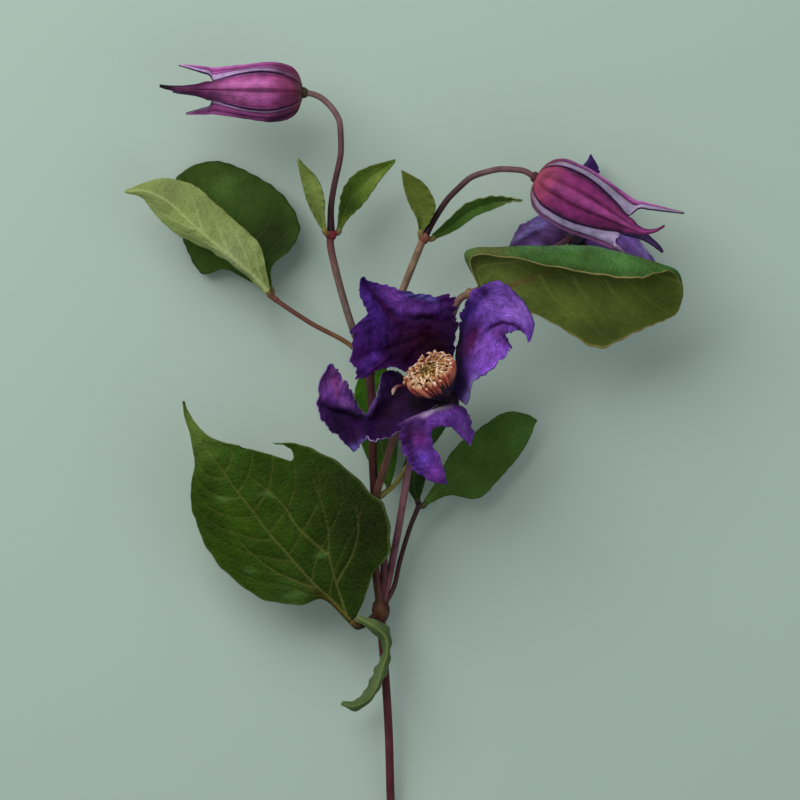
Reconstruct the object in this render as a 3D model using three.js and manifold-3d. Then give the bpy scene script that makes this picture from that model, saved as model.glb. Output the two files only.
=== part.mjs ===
// A cut flowering stem of a clematis with an open bell-shaped flower, a second one behind it,
// two nodding buds and thirteen leaves. It lies on a surface, with the open flower uppermost.
// Millimetres. X runs across the spray, Y from the cut end towards the buds, Z up from the surface.
// The origin is on the surface, 3 mm inside the stem's cut end, under its flat lower face.
import * as THREE from 'three';
import { mergeVertices } from 'three/addons/utils/BufferGeometryUtils.js';
import Module from 'manifold-3d';

const wasm = await Module();
wasm.setup();

// Driving dimensions
const LEAF_THICKNESS = 0.7;
const SEPAL_THICKNESS = 0.7;
const SEAT_GAP = 0.3; // between the stamens and the receptacle that carries them
const BLADE_SEAT_GAP = 0.4; // between a blade's middle and its stalk, which leaves its corners clear
const STALK_SIDES = 8;
const PETIOLE_SIDES = 6;
const MAIN_STEM_RADIUS = 1.35;
const BRANCH_RADIUS = 1.2;
const PETIOLE_RADIUS = 0.8;
const LOWER_PETIOLE_RADIUS = 1;
const BUD_STALK_RADIUS = 1;
const FLOWER_STALK_RADIUS = 1.25;
const RECEPTACLE_RADIUS = 2.7;
const BUD_COLLAR_RADIUS = 1.6;
const NOTCH_REACH = 60; // from the surface up, more than any blade's height

// Finishes
const matte = (color, roughness) => new THREE.MeshStandardMaterial({ color, roughness, metalness: 0 });
const LEAF_UPPER = matte('#2a4a14', 0.6);
const LEAF_UNDERSIDE = matte('#71854a', 0.75);
const STEM = matte('#5e2c30', 0.6);
const SEPAL_VIOLET = matte('#4b2590', 0.7);
const BUD_MAGENTA = matte('#98448c', 0.65);
const STAMENS = matte('#d0a070', 0.8);

// Each blade is a smooth sheet through cross-sections, from its base to its tip.
// A cross-section runs from one edge over the rib to the other, left to right as seen on the upper face.
const LOWER_LEFT_LEAF = [
  [[-13.3, 81.8, 16.9], [-12.5, 82.5, 17], [-11.5, 83.5, 17]],
  [[-21.5, 89.5, 18.5], [-19, 89.5, 19], [-8.5, 90, 19.5]],
  [[-28.5, 88, 18], [-23, 93, 21], [-5.5, 98.5, 21.5]],
  [[-35, 88.5, 18], [-28.5, 99, 23], [-1, 103.5, 23]],
  [[-42, 90.5, 18.5], [-33.5, 105, 24.5], [-0.5, 110, 24]],
  [[-49.5, 96, 19], [-38, 110, 26], [-2, 118.5, 25]],
  [[-55, 101.5, 20], [-42, 115.5, 27], [-7, 123.5, 26]],
  [[-58.5, 107.5, 21], [-45.5, 120, 28], [-14.5, 131, 27.5]],
  [[-61, 113.5, 22], [-49, 124.5, 28.5], [-23, 136, 29]],
  [[-62.5, 119.5, 23], [-52, 129, 29], [-30.5, 138.5, 30.5]],
  [[-62.5, 125.5, 24.5], [-55, 133, 29.5], [-38.5, 138.5, 31]],
  [[-61.5, 132, 26], [-57.5, 136.5, 29.5], [-47.5, 138, 31]],
  [[-62, 137, 28], [-59.5, 140, 30.5], [-55, 139.5, 31]],
  [[-63, 142.5, 29.5], [-61.5, 144, 31], [-59.5, 143, 31]],
  [[-64.5, 147, 30.5], [-63.5, 148, 31], [-62.5, 147, 31]],
  [[-65, 151.5, 31], [-65, 151.5, 31.5], [-64.5, 151.5, 31]],
];

// Where the right lobe's hooked corner stands clear of the blade: an outline in the spray's plane
const LOWER_LEFT_LEAF_NOTCH = [
  [-30.9, 132.7], [-34.1, 133.7], [-38.1, 135], [-42.5, 136.2], [-47.1, 137.2], [-49.6, 140.1],
  [-40.3, 140.7], [-36.1, 138.1], [-33.6, 138.1], [-31.1, 136.6], [-30.5, 134.2],
];

const LOWER_CURLED_LEAF = [
  [[-11.2, 83.4, 18.7], [-10.8, 84, 18.8], [-10.4, 84.6, 18.7]],
  [[-7.5, 80.5, 19.3], [-6, 81.5, 20.8], [-4.5, 83, 20]],
  [[-3.5, 76.5, 17], [-2, 78, 20], [-1, 80.5, 17]],
  [[-3, 72, 15], [-1.5, 73, 19], [-0.5, 74.5, 15.5]],
  [[-5, 68, 13.5], [-3, 68, 18], [-1, 69, 15]],
  [[-7, 64, 12.5], [-4.5, 63, 17], [-3, 64, 14]],
  [[-9, 60, 12], [-7, 58.5, 16], [-5.5, 59, 13]],
  [[-12, 57.5, 12], [-11.5, 56, 14], [-11, 54.5, 12.5]],
  [[-15.5, 57.5, 12], [-16, 56.5, 12], [-15, 56, 12]],
];

const UPPER_LEFT_LIGHT_LEAFLET = [
  [[-38.1, 186.2, 16.6], [-38.8, 185.7, 16.6], [-39.7, 185.1, 16.6]],
  [[-39.5, 193, 17], [-42, 189.5, 18], [-43.5, 189, 17]],
  [[-41.5, 200.5, 18], [-47.5, 194.5, 20], [-51, 195, 18]],
  [[-48, 207, 19], [-55, 200.5, 22], [-58.5, 199.5, 19]],
  [[-56, 214, 20], [-62.5, 207, 23], [-67, 203.5, 20]],
  [[-62, 219, 20], [-69.5, 213.5, 23], [-74, 210, 20.5]],
  [[-72, 221, 20.5], [-76.5, 217, 22], [-78, 215, 20.5]],
  [[-83, 217.5, 20], [-83.5, 217, 20], [-83, 216.5, 20]],
];

const UPPER_LEFT_DARK_LEAFLET = [
  [[-38.7, 186.6, 13.8], [-38.2, 187, 13.8], [-37.7, 187.4, 13.8]],
  [[-44.5, 189, 11], [-41.5, 191.5, 12], [-37.5, 194, 12]],
  [[-52.5, 193, 7], [-46, 198.5, 9.5], [-31.5, 199.5, 11]],
  [[-59.5, 191.5, 3.5], [-51, 204.5, 7], [-29, 207, 10]],
  [[-64, 198, 1.5], [-56, 210, 4.5], [-34.5, 216.5, 8]],
  [[-66.5, 204.5, 1], [-60, 215, 3], [-44, 223, 5]],
  [[-69, 212.5, 0.5], [-63.5, 219, 2], [-54, 227, 3]],
  [[-69, 217.5, 0.5], [-66.5, 221.5, 1], [-62, 226, 2]],
  [[-68, 222, 0.5], [-67.5, 222.5, 0.5], [-66.5, 223, 0.5]],
];

const LEFT_NODE_OUTER_LEAF = [
  [[-21.6, 204.8, 27], [-21, 205, 27], [-20.4, 205.2, 27]],
  [[-23.5, 207.5, 28], [-22, 208.5, 27], [-21, 209.5, 28]],
  [[-26.5, 214, 30], [-24, 214.5, 29], [-21, 214, 30]],
  [[-28, 220, 31], [-25.5, 220.5, 30], [-23, 220.5, 31]],
  [[-29.5, 226.5, 32], [-29, 227, 32], [-29, 226.5, 32]],
];

const LEFT_NODE_INNER_LEAF = [
  [[-17.1, 205.1, 23.5], [-16.5, 205, 23.5], [-15.9, 204.8, 23.5]],
  [[-16.5, 211, 22.5], [-15, 210, 21], [-13.5, 208.5, 22.5]],
  [[-15, 218, 23], [-12, 216, 20.5], [-9, 213, 22.5]],
  [[-10, 223.5, 23.5], [-6.5, 221.5, 21.5], [-4, 220, 23]],
  [[1, 227, 24], [1, 226.5, 24], [1, 226, 24]],
];

const RIGHT_NODE_OUTER_LEAF = [
  [[8.4, 204.6, 30], [9, 204.5, 30], [9.6, 204.5, 30]],
  [[7.5, 208.5, 32], [9.5, 208, 31], [12, 207.5, 32]],
  [[5, 213.5, 33], [8.5, 213, 32], [13.5, 212.5, 33]],
  [[3.5, 219, 34], [6, 218, 33], [10, 219, 34]],
  [[3, 223, 35], [3, 223, 35], [3.5, 223, 35]],
];

const RIGHT_NODE_INNER_LEAF = [
  [[12.5, 203.5, 26.5], [13, 202.5, 26.5], [13.5, 202, 26.5]],
  [[17.5, 208, 25.5], [18.5, 206, 24], [20, 205, 25]],
  [[23, 213, 27], [24, 210.5, 25], [26, 209, 26]],
  [[30, 215, 28], [30.5, 213, 26], [32, 211.5, 27]],
  [[36, 215, 29], [37, 214, 28], [37, 213.5, 29]],
  [[40, 214, 30], [40.5, 214, 30], [40, 213.5, 30]],
];

const RIGHT_FOLDED_LEAF = [
  [[29.3, 187.8, 34.1], [28.5, 187.5, 34.7], [27.5, 187.1, 35.2], [26.7, 186.8, 35.8]],
  [[33, 181.5, 31], [31, 187.5, 33.5], [23, 197, 37], [24.5, 196, 40]],
  [[43.5, 179, 30], [39.5, 189, 33], [34.5, 199, 38], [35.5, 196, 42]],
  [[54, 173.5, 28], [51, 189.5, 33], [49, 199.5, 38], [49.5, 193, 43]],
  [[64.5, 168, 27], [63.5, 188, 33], [62, 199.5, 38], [64, 190.5, 43]],
  [[77, 173.5, 28], [74.5, 187.5, 33], [73, 197, 38], [75.5, 189.5, 42]],
  [[85.5, 177, 30], [83.5, 185.5, 34], [82, 194, 38], [81.5, 191, 40.5]],
  [[88.5, 179, 33], [89.5, 184.5, 35], [88.5, 191.5, 37], [86.5, 191.5, 39]],
  [[90, 184, 35], [90, 185, 35], [90, 186.5, 35], [90, 187, 35.5]],
];

const BACK_RIGHT_LEAF = [
  [[10, 120.5, 12], [10.5, 119.5, 12], [11, 119, 12]],
  [[14.5, 127.5, 12], [16, 125, 12], [18, 122, 11]],
  [[19, 136, 13], [22.5, 129.5, 11], [27, 121, 9]],
  [[27.5, 143, 13], [29.5, 135, 10], [33.5, 127, 8]],
  [[35.5, 148, 12], [37, 140.5, 10], [40, 134.5, 8]],
  [[42, 147.5, 11], [42.5, 144, 10], [43.5, 140.5, 9]],
  [[45, 146, 10], [45.5, 145.5, 10], [45, 145, 10]],
];

const BACK_SMALL_LEAFLET = [
  [[7.2, 120.3, 10.5], [8, 120.5, 10.5], [8.6, 120.7, 10.5]],
  [[4.5, 125, 10], [7, 125, 9.5], [10, 125, 10]],
  [[3.5, 131, 9.5], [7, 131, 8.5], [11, 130, 9.5]],
  [[6, 136, 9.5], [9, 135, 9], [12, 134, 9.5]],
  [[11, 138.5, 10], [11, 138.5, 10], [11.5, 137.5, 10]],
];

const BACK_MIDDLE_LEAF = [
  [[-2, 125.3, 12.2], [-1.2, 125.3, 12.2], [-0.4, 125.3, 12.2]],
  [[-6, 130, 11], [-2, 131.5, 10], [1, 130.5, 11]],
  [[-10, 139.5, 10.5], [-4, 140, 9], [2, 139.5, 10.5]],
  [[-12, 149.5, 10.5], [-5, 149.5, 8.5], [2, 149, 10.5]],
  [[-11, 157.5, 11.5], [-5.5, 157, 10], [0.5, 157, 11.5]],
  [[-7.5, 164.5, 13], [-5.5, 164, 12], [-3, 164, 13]],
  [[-5.5, 169, 14], [-5.5, 169.5, 14], [-5, 169, 14]],
];

const BACK_UPPER_LEAF = [
  [[6.4, 134.3, 14], [7, 134, 14], [7.8, 133.6, 14]],
  [[7, 140.5, 15], [10, 140.5, 14], [13.5, 138.5, 14.5]],
  [[8.5, 148, 16], [13.5, 148.5, 14.5], [18, 145.5, 15.5]],
  [[12, 155.5, 17], [16.5, 155, 15.5], [21, 152.5, 16.5]],
  [[17, 160.5, 17.5], [20, 159.5, 16.5], [22.5, 158, 17]],
  [[21.5, 163.5, 17.5], [22, 163.5, 17.5], [22.5, 163.5, 17.5]],
];

const OPEN_FLOWER_TOP_SEPAL = [
  [[15, 152.9, 39.3], [16.1, 153.6, 39.3], [17.1, 154.3, 39.3]],
  [[8.5, 157.5, 38.5], [12, 160, 35], [18.5, 163.5, 38]],
  [[1, 162, 40.5], [10, 163.5, 35], [19.5, 168.5, 39]],
  [[-5.5, 160.5, 43], [7, 167.5, 36], [20, 175, 40]],
  [[-10.5, 159, 45], [3.5, 171, 37.5], [20, 179, 41.5]],
  [[-12.5, 167, 45.5], [1, 175, 39], [18, 183, 43]],
  [[-11.5, 174, 44.5], [0, 179.5, 40], [11, 184.5, 43.5]],
  [[-8, 178, 43], [-2, 182.5, 41], [5, 185.5, 43.5]],
  [[-8.5, 181, 43.5], [-4.5, 185, 42.5], [-1, 187, 43.5]],
  [[-10, 184, 44.5], [-7.5, 186.5, 43.5], [-5, 188, 44]],
  [[-10, 186.5, 45], [-8.5, 188, 44.5], [-7.5, 188.5, 44.5]],
  [[-9.5, 189, 45.5], [-9, 189.5, 45.5], [-8.5, 189.5, 45.5]],
];

const OPEN_FLOWER_RIGHT_SEPAL = [
  [[18.6, 154.2, 39.6], [19.3, 153.9, 40.6], [19.9, 153.6, 41.5]],
  [[20, 160.5, 36.5], [21.5, 156, 40], [22.9, 150.8, 43.8]],
  [[20, 168.5, 36], [22.5, 163, 39.5], [25.2, 157.3, 44]],
  [[21, 173.5, 37.5], [25, 168.5, 39.5], [30, 160.5, 44.5]],
  [[21, 178, 40.5], [27.5, 172.5, 40], [34, 165, 45.5]],
  [[23, 183, 45.5], [30, 177.5, 41], [36.5, 168, 46]],
  [[27, 186, 48], [32, 180, 42], [35, 171.5, 45]],
  [[33, 188, 49], [35.5, 182, 43], [36, 173, 44.5]],
  [[39, 184.5, 49], [39, 179.5, 44], [38.5, 173.5, 44]],
  [[43, 179, 48], [42, 176, 44.5], [40.5, 172.5, 43.5]],
  [[43.5, 174, 46], [43, 172.5, 44], [41.5, 171.5, 43.5]],
  [[42.5, 170, 43.5], [42.5, 170, 43.5], [42, 169.5, 43.5]],
];

const OPEN_FLOWER_LEFT_SEPAL = [
  [[14.3, 150.8, 41.3], [14.5, 151.6, 40.4], [14.65, 152.25, 39.85]],
  [[10.5, 147.5, 44], [7, 152.5, 38.5], [5, 158.5, 33]],
  [[6, 143.5, 44.5], [2.5, 150, 38.5], [0, 161, 37]],
  [[1.5, 142.5, 44.5], [-1, 148, 38.5], [-4, 158, 39.5]],
  [[-2, 140, 45], [-3.5, 145.5, 39], [-5, 153, 41.5]],
  [[-5.5, 139, 46], [-7, 143.5, 40], [-8, 147.5, 42]],
  [[-8, 140.5, 46.5], [-10, 145, 41], [-11, 151, 43]],
  [[-10.5, 136, 46.5], [-13.5, 144, 42], [-12.5, 154.5, 44]],
  [[-16, 140, 47], [-16.5, 148.5, 43.5], [-14, 157.5, 45]],
  [[-20, 143, 47.5], [-19, 152, 44.5], [-15.5, 159, 46]],
  [[-22.5, 149, 48], [-20, 156, 45.5], [-16.5, 161, 47]],
  [[-22.5, 156.5, 48], [-20.5, 160, 46.5], [-17.5, 162, 47.5]],
  [[-20, 162, 48.5], [-19, 163, 48], [-18, 163, 48]],
];

const OPEN_FLOWER_BOTTOM_SEPAL = [
  [[18.1, 151, 44.2], [17.4, 150.7, 44], [16.7, 150.4, 43.7], [16, 150.1, 43.5]],
  [[22.5, 149, 45.5], [18.5, 149.8, 46.8], [14, 149.2, 47], [10, 148, 46]],
  [[24.3, 145.5, 45.5], [18, 147.8, 48.6], [11, 147.2, 49.6], [3.5, 145.5, 48]],
  [[25, 141.5, 46], [17.5, 144.5, 49], [10, 144.5, 50.8], [2.5, 142, 48.5]],
  [[24, 138, 46.8], [17, 141, 49.3], [9.5, 141.5, 51.6], [2.5, 139, 49]],
  [[22.5, 135, 47.5], [16.5, 137.5, 49.6], [9.5, 138.5, 52], [3.5, 136, 49]],
  [[20.8, 132.2, 48], [16, 134.5, 49.8], [9.7, 135.5, 52], [4.5, 133.5, 49]],
  [[19.3, 130, 48.3], [15.5, 132, 50], [10.7, 132.7, 51.7], [6.5, 131, 49]],
  [[18.2, 128.2, 48.5], [15.5, 129.8, 50], [12, 130.2, 51.2], [8.5, 129, 49]],
  [[17.4, 126.8, 48.5], [15.8, 127.9, 49.6], [13.4, 128.2, 50.2], [11, 127.5, 49]],
  [[17, 125.6, 48.5], [16.2, 126.2, 48.9], [15, 126.6, 49.1], [13.8, 126.4, 48.8]],
];

// The open gap between this sepal's right lobe and its tip, in the spray's plane
const OPEN_FLOWER_BOTTOM_SEPAL_NOTCH = [
  [24, 138], [22.4, 139.6], [20.9, 141], [19.7, 142.2], [18.4, 143.7], [16.9, 143.5], [15.3, 144.1],
  [13.9, 143.5], [12.7, 143.3], [11.9, 141.6], [12.4, 139.4], [12.5, 137.2], [13.7, 136.1],
  [14.7, 134.6], [15, 132.6], [16, 130.8], [16.3, 128.4], [16.9, 126.4], [24, 121], [30, 136],
];

const BACK_FLOWER_LEFT_SEPAL = [
  [[54.8, 204.5, 14], [54.4, 203.1, 14.5], [54.8, 201.6, 14]],
  [[51, 208, 12], [49.5, 202, 15], [51, 197, 12]],
  [[46, 209.5, 8], [44, 202, 12.5], [45.5, 194.5, 8]],
  [[40.5, 206.5, 4], [39, 200.5, 8], [41, 194, 4]],
  [[36.5, 199.5, 2], [36, 198, 2.5], [37, 196, 2]],
];

const BACK_FLOWER_TOP_SEPAL = [
  [[59, 206, 14], [57.5, 206.5, 14.5], [56, 206, 14]],
  [[63, 211.5, 12.5], [59, 212, 15], [54, 210.5, 12.5]],
  [[65.5, 218, 10], [60, 219, 12.5], [55.5, 217.5, 10]],
  [[65, 224, 7], [61.5, 225, 9], [59, 224, 7]],
  [[63, 228, 6], [62.5, 229, 6], [62, 228, 6]],
];

const BACK_FLOWER_RIGHT_SEPAL = [
  [[60.5, 201.5, 14], [60.7, 203.5, 14.5], [60.5, 205.5, 14]],
  [[65, 196.5, 11.5], [65.5, 202, 15], [64.5, 207, 11.5]],
  [[72, 192, 7], [72, 199.5, 12], [72, 206, 8]],
  [[78, 191.5, 1.5], [78.5, 197, 7], [78, 202, 3]],
  [[82.5, 194, 0.5], [83, 194.5, 0.5], [83, 195.5, 0.5]],
];

const BACK_FLOWER_BOTTOM_SEPAL = [
  [[55.5, 200.6, 14], [57, 200.2, 14.5], [58.5, 200.6, 14]],
  [[52.5, 195.5, 11.5], [57.5, 194.5, 15], [63, 195.5, 11.5]],
  [[52.5, 188.5, 6], [58.5, 188, 11], [65, 189, 6]],
  [[56, 183, 1.5], [60.5, 182.5, 5], [65, 184, 1.5]],
  [[61, 178.5, 0.5], [61.5, 178.5, 0.5], [62.5, 179, 0.5]],
];

const LEFT_BUD = {
  base: [-27.5, 247.5, 28],
  heading: [-1, 0.02, 0],
  // Distance from the base, radius over a rib, and half a sepal's width at its seam
  body: [
    [0.6, 2.2, 1.5], [1.9, 5.8, 3], [4.3, 8, 4.2], [8.7, 9.1, 5.5], [12.7, 9, 5.8],
    [16.4, 8.5, 5.5], [19.5, 8.1, 5], [23.5, 7.6, 4], [27.9, 7.1, 2.9],
  ],
  // Where each free tip ends: its distance from the base, its radius, and how far it bends aside
  tips: { front: [44.6, 5.2, 1], top: [39, 8, 0], back: [41, 6.5, 0], bottom: [36.5, 7.4, 0] },
};

const RIGHT_BUD = {
  base: [44.5, 221, 32],
  heading: [0.883, -0.469, 0],
  body: [
    [0.5, 2.4, 1.6], [1.2, 5, 3.4], [2.8, 7.5, 4.9], [5.3, 9.2, 6.3], [8.5, 9.8, 6.9],
    [13, 10.1, 7.1], [17, 9.9, 6.7], [21.5, 9.4, 5.7], [26.5, 8.7, 4.2], [31, 8.3, 2.8],
  ],
  tips: { front: [42.3, 7, 5.2], top: [46, 12, 0], back: [46, 6, -1.7], bottom: [35.5, 7.5, 0] },
};

// How far round the bud's axis each sepal sits, from the upper side in the spray's plane
const BUD_SEPAL_TURNS = { top: 0, front: 90, bottom: 180, back: 270 };
const SEAM_GAP = 0.35;
// How a free tip narrows along its length: the front and back sepals soon thin into a slender tail
const TIP_SHARES = [0.15, 0.35, 0.6, 0.85, 1];
const BROAD_TIP = [0.85, 0.65, 0.4, 0.15, 0];
const SLENDER_TIP = [0.8, 0.42, 0.22, 0.13, 0];
const TIP_HALF_WIDTH = 0.3;

const OPEN_FLOWER = {
  centre: [17.5, 151.5, 41], facing: [-0.47, 0.69, 0.55], rim: 8.4, length: 10.3, stamens: 40,
};
const BACK_FLOWER = {
  centre: [57.5, 203.5, 15], facing: [0.15, 0.1, -0.98], rim: 5, length: 7.5, stamens: 18,
};
const STAMEN_RADIUS = 0.75;
const GOLDEN_ANGLE = Math.PI * (3 - Math.sqrt(5));

// Stalk routes, from where each starts to where it ends
const LOWER_NODE = [-3.5, 86, 12];
const MIDDLE_NODE = [-5.5, 121, 18];
const UPPER_NODE = [-7, 161, 22];
const LEFT_LEAF_NODE = [-19, 203.5, 25];
const RIGHT_LEAF_NODE = [10, 202.5, 28.5];
const RIGHT_BRANCH_END = [24, 185, 33];
const DARK_FORK = [8.5, 119, 12];
const REST_HEIGHT = MAIN_STEM_RADIUS * Math.cos(Math.PI / STALK_SIDES);

const vector = ([x, y, z]) => new THREE.Vector3(x, y, z);
const smoothCurve = (points) => new THREE.CatmullRomCurve3(points, false, 'catmullrom', 0.5);

// The point of a sheet, `across` from edge to edge and `along` from base to tip, each from 0 to 1.
function sheetPoint(sections, across, along) {
  const stations = sections.map((section) => smoothCurve(section.map(vector)).getPoint(across));
  return smoothCurve(stations).getPoint(along);
}

// A plane bent through the cross-sections, with waves that grow towards its edges.
function bentSheet({ sections, cells, ruffle = { height: 0, waves: 0 } }) {
  const [cellsAcross, cellsAlong] = cells;
  const sheet = new THREE.PlaneGeometry(1, 1, cellsAcross, cellsAlong);
  const position = sheet.getAttribute('position');
  const places = [];
  for (let i = 0; i < position.count; i += 1) {
    places.push([position.getX(i) + 0.5, position.getY(i) + 0.5]);
  }
  places.forEach(([across, along], i) => {
    position.setXYZ(i, ...sheetPoint(sections, across, along));
  });
  sheet.computeVertexNormals();
  const normal = sheet.getAttribute('normal');
  places.forEach(([across, along], i) => {
    const nearEdge = (2 * across - 1) ** 4;
    const turn = 2 * Math.PI * ruffle.waves * along + Math.PI * Math.round(across);
    const lift = ruffle.height * nearEdge * Math.sin(Math.PI * along) * Math.sin(turn);
    const point = new THREE.Vector3().fromBufferAttribute(position, i);
    point.addScaledVector(new THREE.Vector3().fromBufferAttribute(normal, i), lift);
    position.setXYZ(i, ...point);
  });
  sheet.computeVertexNormals();
  return sheet;
}

// A closed blade: the sheet offset to both sides, split into triangles alike, and a rim round it.
function thicken(sheet, thickness) {
  const position = sheet.getAttribute('position');
  const normal = sheet.getAttribute('normal');
  const front = Array.from(sheet.index.array);
  const count = position.count;
  const corners = [];
  for (const side of [0.5, -0.5]) {
    for (let i = 0; i < count; i += 1) {
      const corner = new THREE.Vector3().fromBufferAttribute(position, i);
      corner.addScaledVector(new THREE.Vector3().fromBufferAttribute(normal, i), side * thickness);
      corners.push(...corner);
    }
  }
  const triangles = [...front];
  const directed = new Set();
  for (let i = 0; i < front.length; i += 3) {
    const [a, b, c] = front.slice(i, i + 3);
    triangles.push(a + count, c + count, b + count);
    directed.add(`${a},${b}`).add(`${b},${c}`).add(`${c},${a}`);
  }
  for (const edge of directed) {
    const [a, b] = edge.split(',').map(Number);
    if (!directed.has(`${b},${a}`)) {
      triangles.push(b, a, a + count, b, a + count, b + count);
    }
  }
  const solid = new THREE.BufferGeometry();
  solid.setAttribute('position', new THREE.Float32BufferAttribute(corners, 3));
  solid.setIndex(triangles);
  return solid;
}

const blade = (shape, thickness) => thicken(bentSheet(shape), thickness);

// A closed stalk with flat ends: a cylinder bent along a smooth route.
function stalk(route, radius, steps, sides = STALK_SIDES) {
  const curve = smoothCurve(route.map(vector));
  const shape = new THREE.CylinderGeometry(1, 1, 1, sides, steps, false, Math.PI / sides);
  const position = shape.getAttribute('position');
  const up = new THREE.Vector3(0, 0, 1);
  for (let i = 0; i < position.count; i += 1) {
    const along = position.getY(i) + 0.5;
    const centre = curve.getPoint(along);
    const heading = curve.getTangent(along);
    const aside = new THREE.Vector3().crossVectors(heading, up).normalize();
    const above = new THREE.Vector3().crossVectors(aside, heading);
    centre.addScaledVector(aside, position.getX(i) * radius);
    centre.addScaledVector(above, position.getZ(i) * radius);
    position.setXYZ(i, ...centre);
  }
  return shape;
}

// A stalk that comes up from behind the blade it carries, and ends just short of it.
function stalkToBlade(route, sections, radius, steps) {
  const base = sheetPoint(sections, 0.5, 0);
  const backwards = base.clone().sub(sheetPoint(sections, 0.5, 0.02)).normalize();
  const end = base.clone().addScaledVector(backwards, BLADE_SEAT_GAP);
  const approach = end.clone().addScaledVector(backwards, radius);
  return stalk([...route, approach.toArray(), end.toArray()], radius, steps, PETIOLE_SIDES);
}

function swelling(centre, size) {
  const shape = new THREE.SphereGeometry(1, 8, 6);
  shape.scale(...size);
  shape.translate(...centre);
  return shape;
}

function toManifold(geometry) {
  const bare = geometry.clone();
  bare.deleteAttribute('normal');
  bare.deleteAttribute('uv');
  const merged = mergeVertices(bare, 1e-4);
  return new wasm.Manifold(new wasm.Mesh({
    numProp: 3,
    vertProperties: new Float32Array(merged.getAttribute('position').array),
    triVerts: new Uint32Array(merged.index.array),
  }));
}

function fromManifold(body) {
  const { vertProperties, triVerts } = body.getMesh();
  const geometry = new THREE.BufferGeometry();
  geometry.setAttribute('position', new THREE.Float32BufferAttribute(vertProperties, 3));
  geometry.setIndex(Array.from(triVerts));
  return geometry;
}

// One closed body from pieces that run into each other.
function fuse(geometries) {
  return fromManifold(geometries.map(toManifold).reduce((whole, piece) => whole.add(piece)));
}

// A blade without what lies inside an outline in the spray's plane.
function notched(geometry, outline) {
  const shape = new THREE.Shape(outline.map(([x, y]) => new THREE.Vector2(x, y)));
  const through = new THREE.ExtrudeGeometry(shape, { depth: NOTCH_REACH, bevelEnabled: false });
  return fromManifold(toManifold(geometry).subtract(toManifold(through)));
}

// The cross-sections of one sepal of a bud: a quarter of its round body, then a free tip.
function budSepalSections(bud, name) {
  const forward = vector(bud.heading).normalize();
  const upper = new THREE.Vector3(0, 0, 1).cross(forward);
  upper.multiplyScalar(Math.sign(upper.y));
  const out = upper.clone().applyAxisAngle(
    new THREE.Vector3().crossVectors(upper, new THREE.Vector3(0, 0, 1)),
    THREE.MathUtils.degToRad(BUD_SEPAL_TURNS[name]),
  );
  const across = new THREE.Vector3().crossVectors(forward, out);
  const [reach, tipRadius, bend] = bud.tips[name];
  const [bodyLength, bodyRadius, bodySeam] = bud.body[bud.body.length - 1];
  const stations = bud.body.map(([distance, radius, seam]) => [distance, radius, seam, seam - SEAM_GAP, 0]);
  const widths = name === 'front' || name === 'back' ? SLENDER_TIP : BROAD_TIP;
  TIP_SHARES.forEach((share, station) => {
    const radius = THREE.MathUtils.lerp(bodyRadius, tipRadius, share);
    const half = THREE.MathUtils.lerp(TIP_HALF_WIDTH, bodySeam, widths[station]);
    const distance = THREE.MathUtils.lerp(bodyLength, reach, share);
    stations.push([distance, radius, radius - half, half, bend * share ** 4]);
  });
  const aside = upper.clone().projectOnVector(across);
  return stations.map(([distance, radius, edgeOut, edgeAside, shift]) => {
    const centre = vector(bud.base).addScaledVector(forward, distance).addScaledVector(aside, shift);
    const at = (side, height) => centre.clone().addScaledVector(across, side).addScaledVector(out, height);
    return [at(-edgeAside, edgeOut), at(0, radius), at(edgeAside, edgeOut)].map((point) => point.toArray());
  });
}

// A flower's head: stamens in a spiral, packed on a short core and spreading to a flat top.
function stamenHead({ centre, facing, rim, length, stamens }) {
  const axis = vector(facing).normalize();
  const turned = new THREE.Quaternion().setFromUnitVectors(new THREE.Vector3(0, 1, 0), axis);
  const foot = vector(centre).addScaledVector(axis, RECEPTACLE_RADIUS + SEAT_GAP);
  const coreLength = 0.75 * length;
  const core = new THREE.CylinderGeometry(0.7 * rim, 0.3 * rim, coreLength, 12);
  core.translate(0, coreLength / 2, 0);
  const pieces = [core];
  for (let i = 0; i < stamens; i += 1) {
    const spread = Math.sqrt((i + 0.5) / stamens);
    const angle = i * GOLDEN_ANGLE;
    const uneven = 0.4 * Math.sin(7 * i);
    const at = (radius, height) => [radius * Math.sin(angle), height, radius * Math.cos(angle)];
    const outer = spread * (rim - STAMEN_RADIUS);
    pieces.push(stalk([
      at(0.55 * outer, 0.45 * length),
      at(0.95 * outer, 0.8 * length),
      at(outer, length + uneven),
    ], STAMEN_RADIUS, 2, 4));
  }
  const head = fuse(pieces);
  head.applyQuaternion(turned);
  head.translate(...foot);
  return head;
}

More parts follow.
